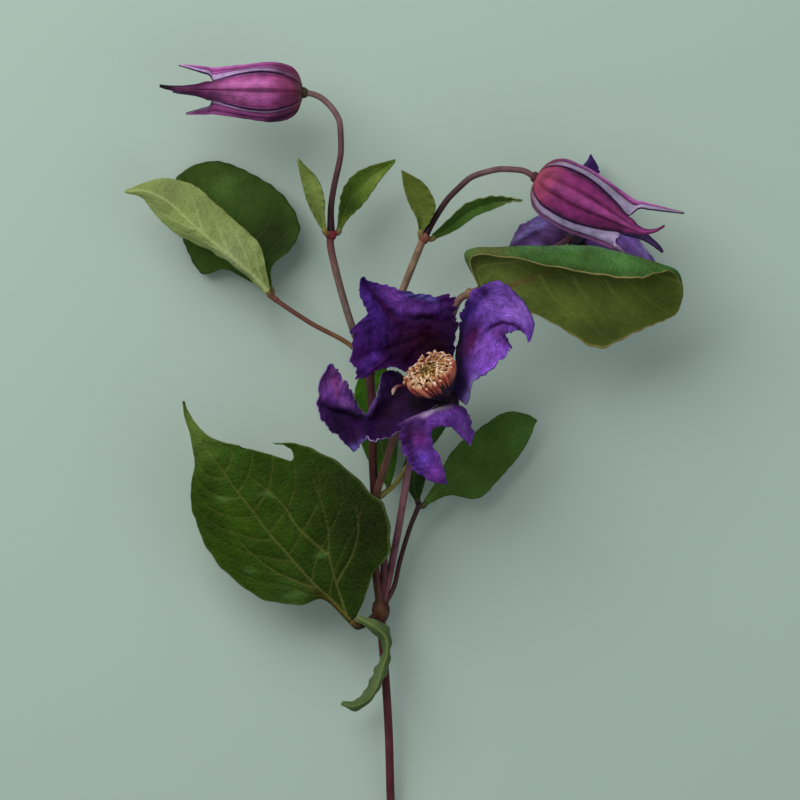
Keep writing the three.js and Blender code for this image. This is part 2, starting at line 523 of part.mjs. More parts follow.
// Where each stalk runs: from its node to its end, or up to the blade it carries.
const mainAxis = [
  stalk([
    [0, -3, REST_HEIGHT], [0, 4, REST_HEIGHT], [0, 10, REST_HEIGHT], [0, 15, 1.5], [-0.5, 28, 3.8],
    [-1, 46.5, 7], [-2, 64, 9.2], [-3, 76, 10.8], LOWER_NODE,
  ], MAIN_STEM_RADIUS, 12),
  stalk([
    LOWER_NODE, [-5, 97.5, 14], [-6, 108.5, 16], MIDDLE_NODE, [-6, 133.5, 19.5], [-6, 145.5, 21],
    UPPER_NODE,
  ], MAIN_STEM_RADIUS, 8),
];
const branches = [
  stalk([LOWER_NODE, [-2.5, 97.5, 13.5], [-3, 108.5, 15.5], MIDDLE_NODE], BRANCH_RADIUS, 4),
  stalk([
    LOWER_NODE, [-1, 96, 12.5], [2, 111.5, 14.5], [5.5, 132, 18], [9, 147.5, 22.5], [15, 166, 28.5],
    [20, 181.5, 33], RIGHT_BRANCH_END,
  ], BRANCH_RADIUS, 11),
  stalk([
    UPPER_NODE, [-12, 173.5, 22.5], [-16, 186.5, 23.5], [-19, 199, 24.5], LEFT_LEAF_NODE,
  ], BRANCH_RADIUS, 5),
  stalk([UPPER_NODE, [-2, 173, 24], [3.5, 186.5, 26], [8.5, 199, 28], RIGHT_LEAF_NODE], BRANCH_RADIUS, 5),
];
const flowerStalks = [
  stalk([
    LEFT_LEAF_NODE, [-19, 211.5, 26], [-18, 218.5, 27], [-16, 228, 28], [-16, 235.5, 28],
    [-16.5, 239, 28], [-18.5, 242.5, 28], [-21.5, 245.5, 28], [-24.5, 247, 28], LEFT_BUD.base,
  ], BUD_STALK_RADIUS, 14, PETIOLE_SIDES),
  stalk([
    RIGHT_LEAF_NODE, [12.5, 207, 29], [15, 211, 29.5], [17.5, 214.5, 30], [21, 218, 30.5],
    [24.5, 221, 31], [28.5, 222.5, 31.5], [33, 223.5, 32], [37, 223.5, 32], [41, 223, 32],
    RIGHT_BUD.base,
  ], BUD_STALK_RADIUS, 13, PETIOLE_SIDES),
  stalk([
    MIDDLE_NODE, [-2, 132, 21.5], [2, 143, 27], [8.5, 146.5, 31.5], [14.5, 149, 36], OPEN_FLOWER.centre,
  ], FLOWER_STALK_RADIUS, 9),
  stalk([
    RIGHT_BRANCH_END, [28.5, 187, 30.5], [34.5, 190.5, 27], [44.5, 195.5, 22], [52.5, 200.5, 17.5],
    BACK_FLOWER.centre,
  ], BUD_STALK_RADIUS, 7, PETIOLE_SIDES),
];
const petioles = [
  stalk([LOWER_NODE, [0.5, 93, 11], [2.5, 101.5, 11], [5.5, 111.5, 11.5], DARK_FORK],
    PETIOLE_RADIUS, 5, PETIOLE_SIDES),
  stalk([[-9.5, 81.5, 16], [-10.4, 83.4, 17.7]], PETIOLE_RADIUS, 1, PETIOLE_SIDES),
  stalkToBlade([LOWER_NODE, [-7.5, 82.5, 15.5], [-10.5, 81, 17]], LOWER_LEFT_LEAF,
    LOWER_PETIOLE_RADIUS, 5),
  stalkToBlade([UPPER_NODE, [-13, 169, 21], [-25.5, 176, 19], [-37.5, 184, 16.5]],
    UPPER_LEFT_LIGHT_LEAFLET, PETIOLE_RADIUS, 6),
  stalkToBlade([[-36, 183, 17], [-37.5, 184.5, 15.5]], UPPER_LEFT_DARK_LEAFLET, PETIOLE_RADIUS, 2),
  stalkToBlade([LEFT_LEAF_NODE], LEFT_NODE_OUTER_LEAF, PETIOLE_RADIUS, 1),
  stalkToBlade([LEFT_LEAF_NODE], LEFT_NODE_INNER_LEAF, PETIOLE_RADIUS, 1),
  stalkToBlade([RIGHT_LEAF_NODE], RIGHT_NODE_OUTER_LEAF, PETIOLE_RADIUS, 1),
  stalkToBlade([RIGHT_LEAF_NODE], RIGHT_NODE_INNER_LEAF, PETIOLE_RADIUS, 1),
  stalkToBlade([RIGHT_BRANCH_END], RIGHT_FOLDED_LEAF, PETIOLE_RADIUS, 1),
  stalkToBlade([DARK_FORK], BACK_RIGHT_LEAF, PETIOLE_RADIUS, 1),
  stalkToBlade([DARK_FORK], BACK_SMALL_LEAFLET, PETIOLE_RADIUS, 1),
  stalkToBlade([MIDDLE_NODE, [-3, 122, 15]], BACK_MIDDLE_LEAF, PETIOLE_RADIUS, 2),
  stalkToBlade([MIDDLE_NODE, [0.5, 125, 15.5], [5, 131.5, 14]], BACK_UPPER_LEAF, PETIOLE_RADIUS, 4),
];
const swellings = [
  swelling(LOWER_NODE, [3, 3.8, 2.4]),
  swelling(MIDDLE_NODE, [2, 2.6, 2]),
  swelling(UPPER_NODE, [2, 2.4, 1.9]),
  swelling(LEFT_LEAF_NODE, [1.8, 2, 1.7]),
  swelling(RIGHT_LEAF_NODE, [1.8, 2, 1.7]),
  swelling(RIGHT_BRANCH_END, [1.6, 1.8, 1.6]),
  swelling(LEFT_BUD.base, [BUD_COLLAR_RADIUS, BUD_COLLAR_RADIUS, BUD_COLLAR_RADIUS]),
  swelling(RIGHT_BUD.base, [BUD_COLLAR_RADIUS, BUD_COLLAR_RADIUS, BUD_COLLAR_RADIUS]),
  swelling(OPEN_FLOWER.centre, [RECEPTACLE_RADIUS, RECEPTACLE_RADIUS, RECEPTACLE_RADIUS]),
  swelling(BACK_FLOWER.centre, [RECEPTACLE_RADIUS, RECEPTACLE_RADIUS, RECEPTACLE_RADIUS]),
];

// Every blade's shape, and how many cells it has across and along
const leaves = {
  lower_left_leaf: {
    sections: LOWER_LEFT_LEAF, cells: [10, 24], material: LEAF_UPPER, notch: LOWER_LEFT_LEAF_NOTCH,
  },
  lower_curled_leaf: { sections: LOWER_CURLED_LEAF, cells: [4, 10], material: LEAF_UPPER },
  upper_left_light_leaflet: { sections: UPPER_LEFT_LIGHT_LEAFLET, cells: [6, 12], material: LEAF_UNDERSIDE },
  upper_left_dark_leaflet: { sections: UPPER_LEFT_DARK_LEAFLET, cells: [6, 12], material: LEAF_UPPER },
  left_node_outer_leaf: { sections: LEFT_NODE_OUTER_LEAF, cells: [4, 8], material: LEAF_UPPER },
  left_node_inner_leaf: { sections: LEFT_NODE_INNER_LEAF, cells: [4, 8], material: LEAF_UPPER },
  right_node_outer_leaf: { sections: RIGHT_NODE_OUTER_LEAF, cells: [4, 8], material: LEAF_UPPER },
  right_node_inner_leaf: { sections: RIGHT_NODE_INNER_LEAF, cells: [4, 8], material: LEAF_UPPER },
  right_folded_leaf: { sections: RIGHT_FOLDED_LEAF, cells: [12, 14], material: LEAF_UNDERSIDE },
  back_right_leaf: { sections: BACK_RIGHT_LEAF, cells: [4, 10], material: LEAF_UPPER },
  back_small_leaflet: { sections: BACK_SMALL_LEAFLET, cells: [4, 7], material: LEAF_UPPER },
  back_middle_leaf: { sections: BACK_MIDDLE_LEAF, cells: [4, 10], material: LEAF_UPPER },
  back_upper_leaf: { sections: BACK_UPPER_LEAF, cells: [4, 8], material: LEAF_UPPER },
};

const OPEN_RUFFLE = { height: 0.6, waves: 3 };
const BACK_RUFFLE = { height: 0.5, waves: 2 };
const sepals = {
  open_flower_top_sepal: { sections: OPEN_FLOWER_TOP_SEPAL, cells: [8, 18], ruffle: OPEN_RUFFLE },
  open_flower_right_sepal: { sections: OPEN_FLOWER_RIGHT_SEPAL, cells: [8, 18], ruffle: OPEN_RUFFLE },
  open_flower_left_sepal: { sections: OPEN_FLOWER_LEFT_SEPAL, cells: [8, 20], ruffle: OPEN_RUFFLE },
  open_flower_bottom_sepal: {
    sections: OPEN_FLOWER_BOTTOM_SEPAL, cells: [10, 18], ruffle: OPEN_RUFFLE,
    notch: OPEN_FLOWER_BOTTOM_SEPAL_NOTCH,
  },
  back_flower_left_sepal: { sections: BACK_FLOWER_LEFT_SEPAL, cells: [6, 8], ruffle: BACK_RUFFLE },
  back_flower_top_sepal: { sections: BACK_FLOWER_TOP_SEPAL, cells: [6, 8], ruffle: BACK_RUFFLE },
  back_flower_right_sepal: { sections: BACK_FLOWER_RIGHT_SEPAL, cells: [6, 8], ruffle: BACK_RUFFLE },
  back_flower_bottom_sepal: { sections: BACK_FLOWER_BOTTOM_SEPAL, cells: [6, 8], ruffle: BACK_RUFFLE },
};

const spray = new THREE.Group();

function addPiece(name, geometry, material) {
  const piece = new THREE.Mesh(geometry, material);
  piece.name = name;
  spray.add(piece);
}

addPiece('stem', fuse([...mainAxis, ...branches, ...flowerStalks, ...petioles, ...swellings]), STEM);
for (const [name, { material, notch, ...shape }] of Object.entries(leaves)) {
  const whole = blade(shape, LEAF_THICKNESS);
  addPiece(name, notch ? notched(whole, notch) : whole, material);
}
for (const [name, { notch, ...shape }] of Object.entries(sepals)) {
  const whole = blade(shape, SEPAL_THICKNESS);
  addPiece(name, notch ? notched(whole, notch) : whole, SEPAL_VIOLET);
}
for (const [budName, bud] of Object.entries({ left_bud: LEFT_BUD, right_bud: RIGHT_BUD })) {
  for (const name of Object.keys(BUD_SEPAL_TURNS)) {
    const shape = { sections: budSepalSections(bud, name), cells: [4, 11] };
    addPiece(`${budName}_${name}_sepal`, blade(shape, SEPAL_THICKNESS), BUD_MAGENTA);
  }
}
addPiece('open_flower_stamens', stamenHead(OPEN_FLOWER), STAMENS);
addPiece('back_flower_stamens', stamenHead(BACK_FLOWER), STAMENS);

export default spray;
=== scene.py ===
"""Dresses the cut flowering stem of a clematis that lies on a pale table, seen from straight above.

The shapes are worked out in millimetres in the part's own frame, X across the spray, Y from the cut
end of the stem towards the buds and Z up from the table. Every mesh is written in metres.
"""
import logging
import math
from dataclasses import dataclass
from enum import Enum
from typing import Callable

import bmesh
import bpy
import numpy as np
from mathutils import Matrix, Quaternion, Vector, noise


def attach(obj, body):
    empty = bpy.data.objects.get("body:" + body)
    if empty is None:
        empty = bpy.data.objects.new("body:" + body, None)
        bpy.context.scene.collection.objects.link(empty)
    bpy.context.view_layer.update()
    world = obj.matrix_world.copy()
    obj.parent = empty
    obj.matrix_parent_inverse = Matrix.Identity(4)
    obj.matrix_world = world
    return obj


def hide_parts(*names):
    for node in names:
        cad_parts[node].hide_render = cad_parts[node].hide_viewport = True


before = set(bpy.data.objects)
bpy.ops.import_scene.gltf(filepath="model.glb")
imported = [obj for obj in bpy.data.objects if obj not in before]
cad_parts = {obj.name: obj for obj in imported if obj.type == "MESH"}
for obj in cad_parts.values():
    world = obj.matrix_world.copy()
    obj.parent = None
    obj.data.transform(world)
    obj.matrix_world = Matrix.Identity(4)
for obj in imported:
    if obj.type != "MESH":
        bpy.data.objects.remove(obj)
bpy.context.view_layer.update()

LOG = logging.getLogger("clematis")
MM = 0.001
BODY = "root"
TINY = 1e-9
NUDGE = 1e-3
VEIN_SAMPLES = 26
LENGTH_SAMPLES = 60
GOLDEN_ANGLE = math.pi * (3 - math.sqrt(5))

# The photograph's frame: how many millimetres one of its pixels covers, and what it is centred on
PHOTO_SIDE_PX = 800
MM_PER_PX = 0.31
FRAME_CENTRE = (2.5, 151.9)
FOCUS_HEIGHT = 35

# A cross-section from a blade's left edge to its right, one place in space, a line on the table
# plane, a station of a bud or its tip, and a linear colour with its alpha
Row = list[list[float]]
Place = tuple[float, float, float]
Line = tuple[tuple[float, float], ...]
Station = tuple[float, float, float]
Colour = tuple[float, float, float, float]

# A shader's node tree, a socket in it, and the colour, relief and depth of a finish
Tree = bpy.types.NodeTree
Socket = bpy.types.NodeSocket
Look = tuple[Socket, Socket, float]


class Slot(Enum):
    """The record's material slots."""

    STEM = "stem"
    LEAF_UPPER = "leaf_upper"
    LEAF_UNDERSIDE = "leaf_underside"
    SEPAL_VIOLET = "sepal_violet"
    BUD_MAGENTA = "bud_magenta"
    STAMENS = "stamens"


class Layer(Enum):
    """The mesh attributes that hold the painted colours of a blade's two faces."""

    UPPER = "tint"
    UNDER = "under_tint"


# Cross-sections of the leaves and sepals, in millimetres, as in the part's source
LOWER_LEFT_LEAF = [
    [[-13.3, 81.8, 16.9], [-12.5, 82.5, 17], [-11.5, 83.5, 17]],
    [[-21.5, 89.5, 18.5], [-19, 89.5, 19], [-8.5, 90, 19.5]],
    [[-28.5, 88, 18], [-23, 93, 21], [-5.5, 98.5, 21.5]],
    [[-35, 88.5, 18], [-28.5, 99, 23], [-1, 103.5, 23]],
    [[-42, 90.5, 18.5], [-33.5, 105, 24.5], [-0.5, 110, 24]],
    [[-49.5, 96, 19], [-38, 110, 26], [-2, 118.5, 25]],
    [[-55, 101.5, 20], [-42, 115.5, 27], [-7, 123.5, 26]],
    [[-58.5, 107.5, 21], [-45.5, 120, 28], [-14.5, 131, 27.5]],
    [[-61, 113.5, 22], [-49, 124.5, 28.5], [-23, 136, 29]],
    [[-62.5, 119.5, 23], [-52, 129, 29], [-30.5, 138.5, 30.5]],
    [[-62.5, 125.5, 24.5], [-55, 133, 29.5], [-38.5, 138.5, 31]],
    [[-61.5, 132, 26], [-57.5, 136.5, 29.5], [-47.5, 138, 31]],
    [[-62, 137, 28], [-59.5, 140, 30.5], [-55, 139.5, 31]],
    [[-63, 142.5, 29.5], [-61.5, 144, 31], [-59.5, 143, 31]],
    [[-64.5, 147, 30.5], [-63.5, 148, 31], [-62.5, 147, 31]],
    [[-65, 151.5, 31], [-65, 151.5, 31.5], [-64.5, 151.5, 31]],
]

# Where the right lobe's hooked corner stands clear of the blade, on the table plane
LOWER_LEFT_LEAF_NOTCH = (
    (-30.9, 132.7), (-34.1, 133.7), (-38.1, 135), (-42.5, 136.2), (-47.1, 137.2), (-49.6, 140.1),
    (-40.3, 140.7), (-36.1, 138.1), (-33.6, 138.1), (-31.1, 136.6), (-30.5, 134.2),
)

LOWER_CURLED_LEAF = [
    [[-11.2, 83.4, 18.7], [-10.8, 84, 18.8], [-10.4, 84.6, 18.7]],
    [[-7.5, 80.5, 19.3], [-6, 81.5, 20.8], [-4.5, 83, 20]],
    [[-3.5, 76.5, 17], [-2, 78, 20], [-1, 80.5, 17]],
    [[-3, 72, 15], [-1.5, 73, 19], [-0.5, 74.5, 15.5]],
    [[-5, 68, 13.5], [-3, 68, 18], [-1, 69, 15]],
    [[-7, 64, 12.5], [-4.5, 63, 17], [-3, 64, 14]],
    [[-9, 60, 12], [-7, 58.5, 16], [-5.5, 59, 13]],
    [[-12, 57.5, 12], [-11.5, 56, 14], [-11, 54.5, 12.5]],
    [[-15.5, 57.5, 12], [-16, 56.5, 12], [-15, 56, 12]],
]

UPPER_LEFT_LIGHT_LEAFLET = [
    [[-38.1, 186.2, 16.6], [-38.8, 185.7, 16.6], [-39.7, 185.1, 16.6]],
    [[-39.5, 193, 17], [-42, 189.5, 18], [-43.5, 189, 17]],
    [[-41.5, 200.5, 18], [-47.5, 194.5, 20], [-51, 195, 18]],
    [[-48, 207, 19], [-55, 200.5, 22], [-58.5, 199.5, 19]],
    [[-56, 214, 20], [-62.5, 207, 23], [-67, 203.5, 20]],
    [[-62, 219, 20], [-69.5, 213.5, 23], [-74, 210, 20.5]],
    [[-72, 221, 20.5], [-76.5, 217, 22], [-78, 215, 20.5]],
    [[-83, 217.5, 20], [-83.5, 217, 20], [-83, 216.5, 20]],
]

UPPER_LEFT_DARK_LEAFLET = [
    [[-38.7, 186.6, 13.8], [-38.2, 187, 13.8], [-37.7, 187.4, 13.8]],
    [[-44.5, 189, 11], [-41.5, 191.5, 12], [-37.5, 194, 12]],
    [[-52.5, 193, 7], [-46, 198.5, 9.5], [-31.5, 199.5, 11]],
    [[-59.5, 191.5, 3.5], [-51, 204.5, 7], [-29, 207, 10]],
    [[-64, 198, 1.5], [-56, 210, 4.5], [-34.5, 216.5, 8]],
    [[-66.5, 204.5, 1], [-60, 215, 3], [-44, 223, 5]],
    [[-69, 212.5, 0.5], [-63.5, 219, 2], [-54, 227, 3]],
    [[-69, 217.5, 0.5], [-66.5, 221.5, 1], [-62, 226, 2]],
    [[-68, 222, 0.5], [-67.5, 222.5, 0.5], [-66.5, 223, 0.5]],
]

LEFT_NODE_OUTER_LEAF = [
    [[-21.6, 204.8, 27], [-21, 205, 27], [-20.4, 205.2, 27]],
    [[-23.5, 207.5, 28], [-22, 208.5, 27], [-21, 209.5, 28]],
    [[-26.5, 214, 30], [-24, 214.5, 29], [-21, 214, 30]],
    [[-28, 220, 31], [-25.5, 220.5, 30], [-23, 220.5, 31]],
    [[-29.5, 226.5, 32], [-29, 227, 32], [-29, 226.5, 32]],
]

LEFT_NODE_INNER_LEAF = [
    [[-17.1, 205.1, 23.5], [-16.5, 205, 23.5], [-15.9, 204.8, 23.5]],
    [[-16.5, 211, 22.5], [-15, 210, 21], [-13.5, 208.5, 22.5]],
    [[-15, 218, 23], [-12, 216, 20.5], [-9, 213, 22.5]],
    [[-10, 223.5, 23.5], [-6.5, 221.5, 21.5], [-4, 220, 23]],
    [[1, 227, 24], [1, 226.5, 24], [1, 226, 24]],
]

RIGHT_NODE_OUTER_LEAF = [
    [[8.4, 204.6, 30], [9, 204.5, 30], [9.6, 204.5, 30]],
    [[7.5, 208.5, 32], [9.5, 208, 31], [12, 207.5, 32]],
    [[5, 213.5, 33], [8.5, 213, 32], [13.5, 212.5, 33]],
    [[3.5, 219, 34], [6, 218, 33], [10, 219, 34]],
    [[3, 223, 35], [3, 223, 35], [3.5, 223, 35]],
]

RIGHT_NODE_INNER_LEAF = [
    [[12.5, 203.5, 26.5], [13, 202.5, 26.5], [13.5, 202, 26.5]],
    [[17.5, 208, 25.5], [18.5, 206, 24], [20, 205, 25]],
    [[23, 213, 27], [24, 210.5, 25], [26, 209, 26]],
    [[30, 215, 28], [30.5, 213, 26], [32, 211.5, 27]],
    [[36, 215, 29], [37, 214, 28], [37, 213.5, 29]],
    [[40, 214, 30], [40.5, 214, 30], [40, 213.5, 30]],
]

RIGHT_FOLDED_LEAF = [
    [[29.3, 187.8, 34.1], [28.5, 187.5, 34.7], [27.5, 187.1, 35.2], [26.7, 186.8, 35.8]],
    [[33, 181.5, 31], [31, 187.5, 33.5], [23, 197, 37], [24.5, 196, 40]],
    [[43.5, 179, 30], [39.5, 189, 33], [34.5, 199, 38], [35.5, 196, 42]],
    [[54, 173.5, 28], [51, 189.5, 33], [49, 199.5, 38], [49.5, 193, 43]],
    [[64.5, 168, 27], [63.5, 188, 33], [62, 199.5, 38], [64, 190.5, 43]],
    [[77, 173.5, 28], [74.5, 187.5, 33], [73, 197, 38], [75.5, 189.5, 42]],
    [[85.5, 177, 30], [83.5, 185.5, 34], [82, 194, 38], [81.5, 191, 40.5]],
    [[88.5, 179, 33], [89.5, 184.5, 35], [88.5, 191.5, 37], [86.5, 191.5, 39]],
    [[90, 184, 35], [90, 185, 35], [90, 186.5, 35], [90, 187, 35.5]],
]

BACK_RIGHT_LEAF = [
    [[10, 120.5, 12], [10.5, 119.5, 12], [11, 119, 12]],
    [[14.5, 127.5, 12], [16, 125, 12], [18, 122, 11]],
    [[19, 136, 13], [22.5, 129.5, 11], [27, 121, 9]],
    [[27.5, 143, 13], [29.5, 135, 10], [33.5, 127, 8]],
    [[35.5, 148, 12], [37, 140.5, 10], [40, 134.5, 8]],
    [[42, 147.5, 11], [42.5, 144, 10], [43.5, 140.5, 9]],
    [[45, 146, 10], [45.5, 145.5, 10], [45, 145, 10]],
]

BACK_SMALL_LEAFLET = [
    [[7.2, 120.3, 10.5], [8, 120.5, 10.5], [8.6, 120.7, 10.5]],
    [[4.5, 125, 10], [7, 125, 9.5], [10, 125, 10]],
    [[3.5, 131, 9.5], [7, 131, 8.5], [11, 130, 9.5]],
    [[6, 136, 9.5], [9, 135, 9], [12, 134, 9.5]],
    [[11, 138.5, 10], [11, 138.5, 10], [11.5, 137.5, 10]],
]

BACK_MIDDLE_LEAF = [
    [[-2, 125.3, 12.2], [-1.2, 125.3, 12.2], [-0.4, 125.3, 12.2]],
    [[-6, 130, 11], [-2, 131.5, 10], [1, 130.5, 11]],
    [[-10, 139.5, 10.5], [-4, 140, 9], [2, 139.5, 10.5]],
    [[-12, 149.5, 10.5], [-5, 149.5, 8.5], [2, 149, 10.5]],
    [[-11, 157.5, 11.5], [-5.5, 157, 10], [0.5, 157, 11.5]],
    [[-7.5, 164.5, 13], [-5.5, 164, 12], [-3, 164, 13]],
    [[-5.5, 169, 14], [-5.5, 169.5, 14], [-5, 169, 14]],
]

BACK_UPPER_LEAF = [
    [[6.4, 134.3, 14], [7, 134, 14], [7.8, 133.6, 14]],
    [[7, 140.5, 15], [10, 140.5, 14], [13.5, 138.5, 14.5]],
    [[8.5, 148, 16], [13.5, 148.5, 14.5], [18, 145.5, 15.5]],
    [[12, 155.5, 17], [16.5, 155, 15.5], [21, 152.5, 16.5]],
    [[17, 160.5, 17.5], [20, 159.5, 16.5], [22.5, 158, 17]],
    [[21.5, 163.5, 17.5], [22, 163.5, 17.5], [22.5, 163.5, 17.5]],
]

OPEN_FLOWER_TOP_SEPAL = [
    [[15, 152.9, 39.3], [16.1, 153.6, 39.3], [17.1, 154.3, 39.3]],
    [[8.5, 157.5, 38.5], [12, 160, 35], [18.5, 163.5, 38]],
    [[1, 162, 40.5], [10, 163.5, 35], [19.5, 168.5, 39]],
    [[-5.5, 160.5, 43], [7, 167.5, 36], [20, 175, 40]],
    [[-10.5, 159, 45], [3.5, 171, 37.5], [20, 179, 41.5]],
    [[-12.5, 167, 45.5], [1, 175, 39], [18, 183, 43]],
    [[-11.5, 174, 44.5], [0, 179.5, 40], [11, 184.5, 43.5]],
    [[-8, 178, 43], [-2, 182.5, 41], [5, 185.5, 43.5]],
    [[-8.5, 181, 43.5], [-4.5, 185, 42.5], [-1, 187, 43.5]],
    [[-10, 184, 44.5], [-7.5, 186.5, 43.5], [-5, 188, 44]],
    [[-10, 186.5, 45], [-8.5, 188, 44.5], [-7.5, 188.5, 44.5]],
    [[-9.5, 189, 45.5], [-9, 189.5, 45.5], [-8.5, 189.5, 45.5]],
]

OPEN_FLOWER_RIGHT_SEPAL = [
    [[18.6, 154.2, 39.6], [19.3, 153.9, 40.6], [19.9, 153.6, 41.5]],
    [[20, 160.5, 36.5], [21.5, 156, 40], [22.9, 150.8, 43.8]],
    [[20, 168.5, 36], [22.5, 163, 39.5], [25.2, 157.3, 44]],
    [[21, 173.5, 37.5], [25, 168.5, 39.5], [30, 160.5, 44.5]],
    [[21, 178, 40.5], [27.5, 172.5, 40], [34, 165, 45.5]],
    [[23, 183, 45.5], [30, 177.5, 41], [36.5, 168, 46]],
    [[27, 186, 48], [32, 180, 42], [35, 171.5, 45]],
    [[33, 188, 49], [35.5, 182, 43], [36, 173, 44.5]],
    [[39, 184.5, 49], [39, 179.5, 44], [38.5, 173.5, 44]],
    [[43, 179, 48], [42, 176, 44.5], [40.5, 172.5, 43.5]],
    [[43.5, 174, 46], [43, 172.5, 44], [41.5, 171.5, 43.5]],
    [[42.5, 170, 43.5], [42.5, 170, 43.5], [42, 169.5, 43.5]],
]

OPEN_FLOWER_LEFT_SEPAL = [
    [[14.3, 150.8, 41.3], [14.5, 151.6, 40.4], [14.65, 152.25, 39.85]],
    [[10.5, 147.5, 44], [7, 152.5, 38.5], [5, 158.5, 33]],
    [[6, 143.5, 44.5], [2.5, 150, 38.5], [0, 161, 37]],
    [[1.5, 142.5, 44.5], [-1, 148, 38.5], [-4, 158, 39.5]],
    [[-2, 140, 45], [-3.5, 145.5, 39], [-5, 153, 41.5]],
    [[-5.5, 139, 46], [-7, 143.5, 40], [-8, 147.5, 42]],
    [[-8, 140.5, 46.5], [-10, 145, 41], [-11, 151, 43]],
    [[-10.5, 136, 46.5], [-13.5, 144, 42], [-12.5, 154.5, 44]],
    [[-16, 140, 47], [-16.5, 148.5, 43.5], [-14, 157.5, 45]],
    [[-20, 143, 47.5], [-19, 152, 44.5], [-15.5, 159, 46]],
    [[-22.5, 149, 48], [-20, 156, 45.5], [-16.5, 161, 47]],
    [[-22.5, 156.5, 48], [-20.5, 160, 46.5], [-17.5, 162, 47.5]],
    [[-20, 162, 48.5], [-19, 163, 48], [-18, 163, 48]],
]

OPEN_FLOWER_BOTTOM_SEPAL = [
    [[18.1, 151, 44.2], [17.4, 150.7, 44], [16.7, 150.4, 43.7], [16, 150.1, 43.5]],
    [[22.5, 149, 45.5], [18.5, 149.8, 46.8], [14, 149.2, 47], [10, 148, 46]],
    [[24.3, 145.5, 45.5], [18, 147.8, 48.6], [11, 147.2, 49.6], [3.5, 145.5, 48]],
    [[25, 141.5, 46], [17.5, 144.5, 49], [10, 144.5, 50.8], [2.5, 142, 48.5]],
    [[24, 138, 46.8], [17, 141, 49.3], [9.5, 141.5, 51.6], [2.5, 139, 49]],
    [[22.5, 135, 47.5], [16.5, 137.5, 49.6], [9.5, 138.5, 52], [3.5, 136, 49]],
    [[20.8, 132.2, 48], [16, 134.5, 49.8], [9.7, 135.5, 52], [4.5, 133.5, 49]],
    [[19.3, 130, 48.3], [15.5, 132, 50], [10.7, 132.7, 51.7], [6.5, 131, 49]],
    [[18.2, 128.2, 48.5], [15.5, 129.8, 50], [12, 130.2, 51.2], [8.5, 129, 49]],
    [[17.4, 126.8, 48.5], [15.8, 127.9, 49.6], [13.4, 128.2, 50.2], [11, 127.5, 49]],
    [[17, 125.6, 48.5], [16.2, 126.2, 48.9], [15, 126.6, 49.1], [13.8, 126.4, 48.8]],
]

# The open gap between the bottom sepal's right lobe and its tip
OPEN_FLOWER_BOTTOM_SEPAL_NOTCH = (
    (24, 138), (22.4, 139.6), (20.9, 141), (19.7, 142.2), (18.4, 143.7), (16.9, 143.5), (15.3, 144.1),
    (13.9, 143.5), (12.7, 143.3), (11.9, 141.6), (12.4, 139.4), (12.5, 137.2), (13.7, 136.1),
    (14.7, 134.6), (15, 132.6), (16, 130.8), (16.3, 128.4), (16.9, 126.4), (24, 121), (30, 136),
)

BACK_FLOWER_LEFT_SEPAL = [
    [[54.8, 204.5, 14], [54.4, 203.1, 14.5], [54.8, 201.6, 14]],
    [[51, 208, 12], [49.5, 202, 15], [51, 197, 12]],
    [[46, 209.5, 8], [44, 202, 12.5], [45.5, 194.5, 8]],
    [[40.5, 206.5, 4], [39, 200.5, 8], [41, 194, 4]],
    [[36.5, 199.5, 2], [36, 198, 2.5], [37, 196, 2]],
]

BACK_FLOWER_TOP_SEPAL = [
    [[59, 206, 14], [57.5, 206.5, 14.5], [56, 206, 14]],
    [[63, 211.5, 12.5], [59, 212, 15], [54, 210.5, 12.5]],
    [[65.5, 218, 10], [60, 219, 12.5], [55.5, 217.5, 10]],
    [[65, 224, 7], [61.5, 225, 9], [59, 224, 7]],
    [[63, 228, 6], [62.5, 229, 6], [62, 228, 6]],
]

BACK_FLOWER_RIGHT_SEPAL = [
    [[60.5, 201.5, 14], [60.7, 203.5, 14.5], [60.5, 205.5, 14]],
    [[65, 196.5, 11.5], [65.5, 202, 15], [64.5, 207, 11.5]],
    [[72, 192, 7], [72, 199.5, 12], [72, 206, 8]],
    [[78, 191.5, 1.5], [78.5, 197, 7], [78, 202, 3]],
    [[82.5, 194, 0.5], [83, 194.5, 0.5], [83, 195.5, 0.5]],
]

BACK_FLOWER_BOTTOM_SEPAL = [
    [[55.5, 200.6, 14], [57, 200.2, 14.5], [58.5, 200.6, 14]],
    [[52.5, 195.5, 11.5], [57.5, 194.5, 15], [63, 195.5, 11.5]],
    [[52.5, 188.5, 6], [58.5, 188, 11], [65, 189, 6]],
    [[56, 183, 1.5], [60.5, 182.5, 5], [65, 184, 1.5]],
    [[61, 178.5, 0.5], [61.5, 178.5, 0.5], [62.5, 179, 0.5]],
]


# How a bud sepal's free tip narrows along its length: front and back soon thin into a slender tail
TIP_SHARES = (0.15, 0.35, 0.6, 0.85, 1)
BROAD_TIP = (0.85, 0.65, 0.4, 0.15, 0)
SLENDER_TIP = (0.8, 0.42, 0.22, 0.13, 0)
TIP_HALF_WIDTH = 0.3


def linear(code: str) -> Colour:
    """Turns an sRGB hex value to linear light.

    Args:
        code: The colour as "#rrggbb".

    Returns:
        Linear red, green, blue and an alpha of 1.
    """
    values = [int(code[i:i + 2], 16) / 255 for i in (1, 3, 5)]
    red, green, blue = (v / 12.92 if v <= 0.04045 else ((v + 0.055) / 1.055) ** 2.4 for v in values)
    return red, green, blue, 1.0


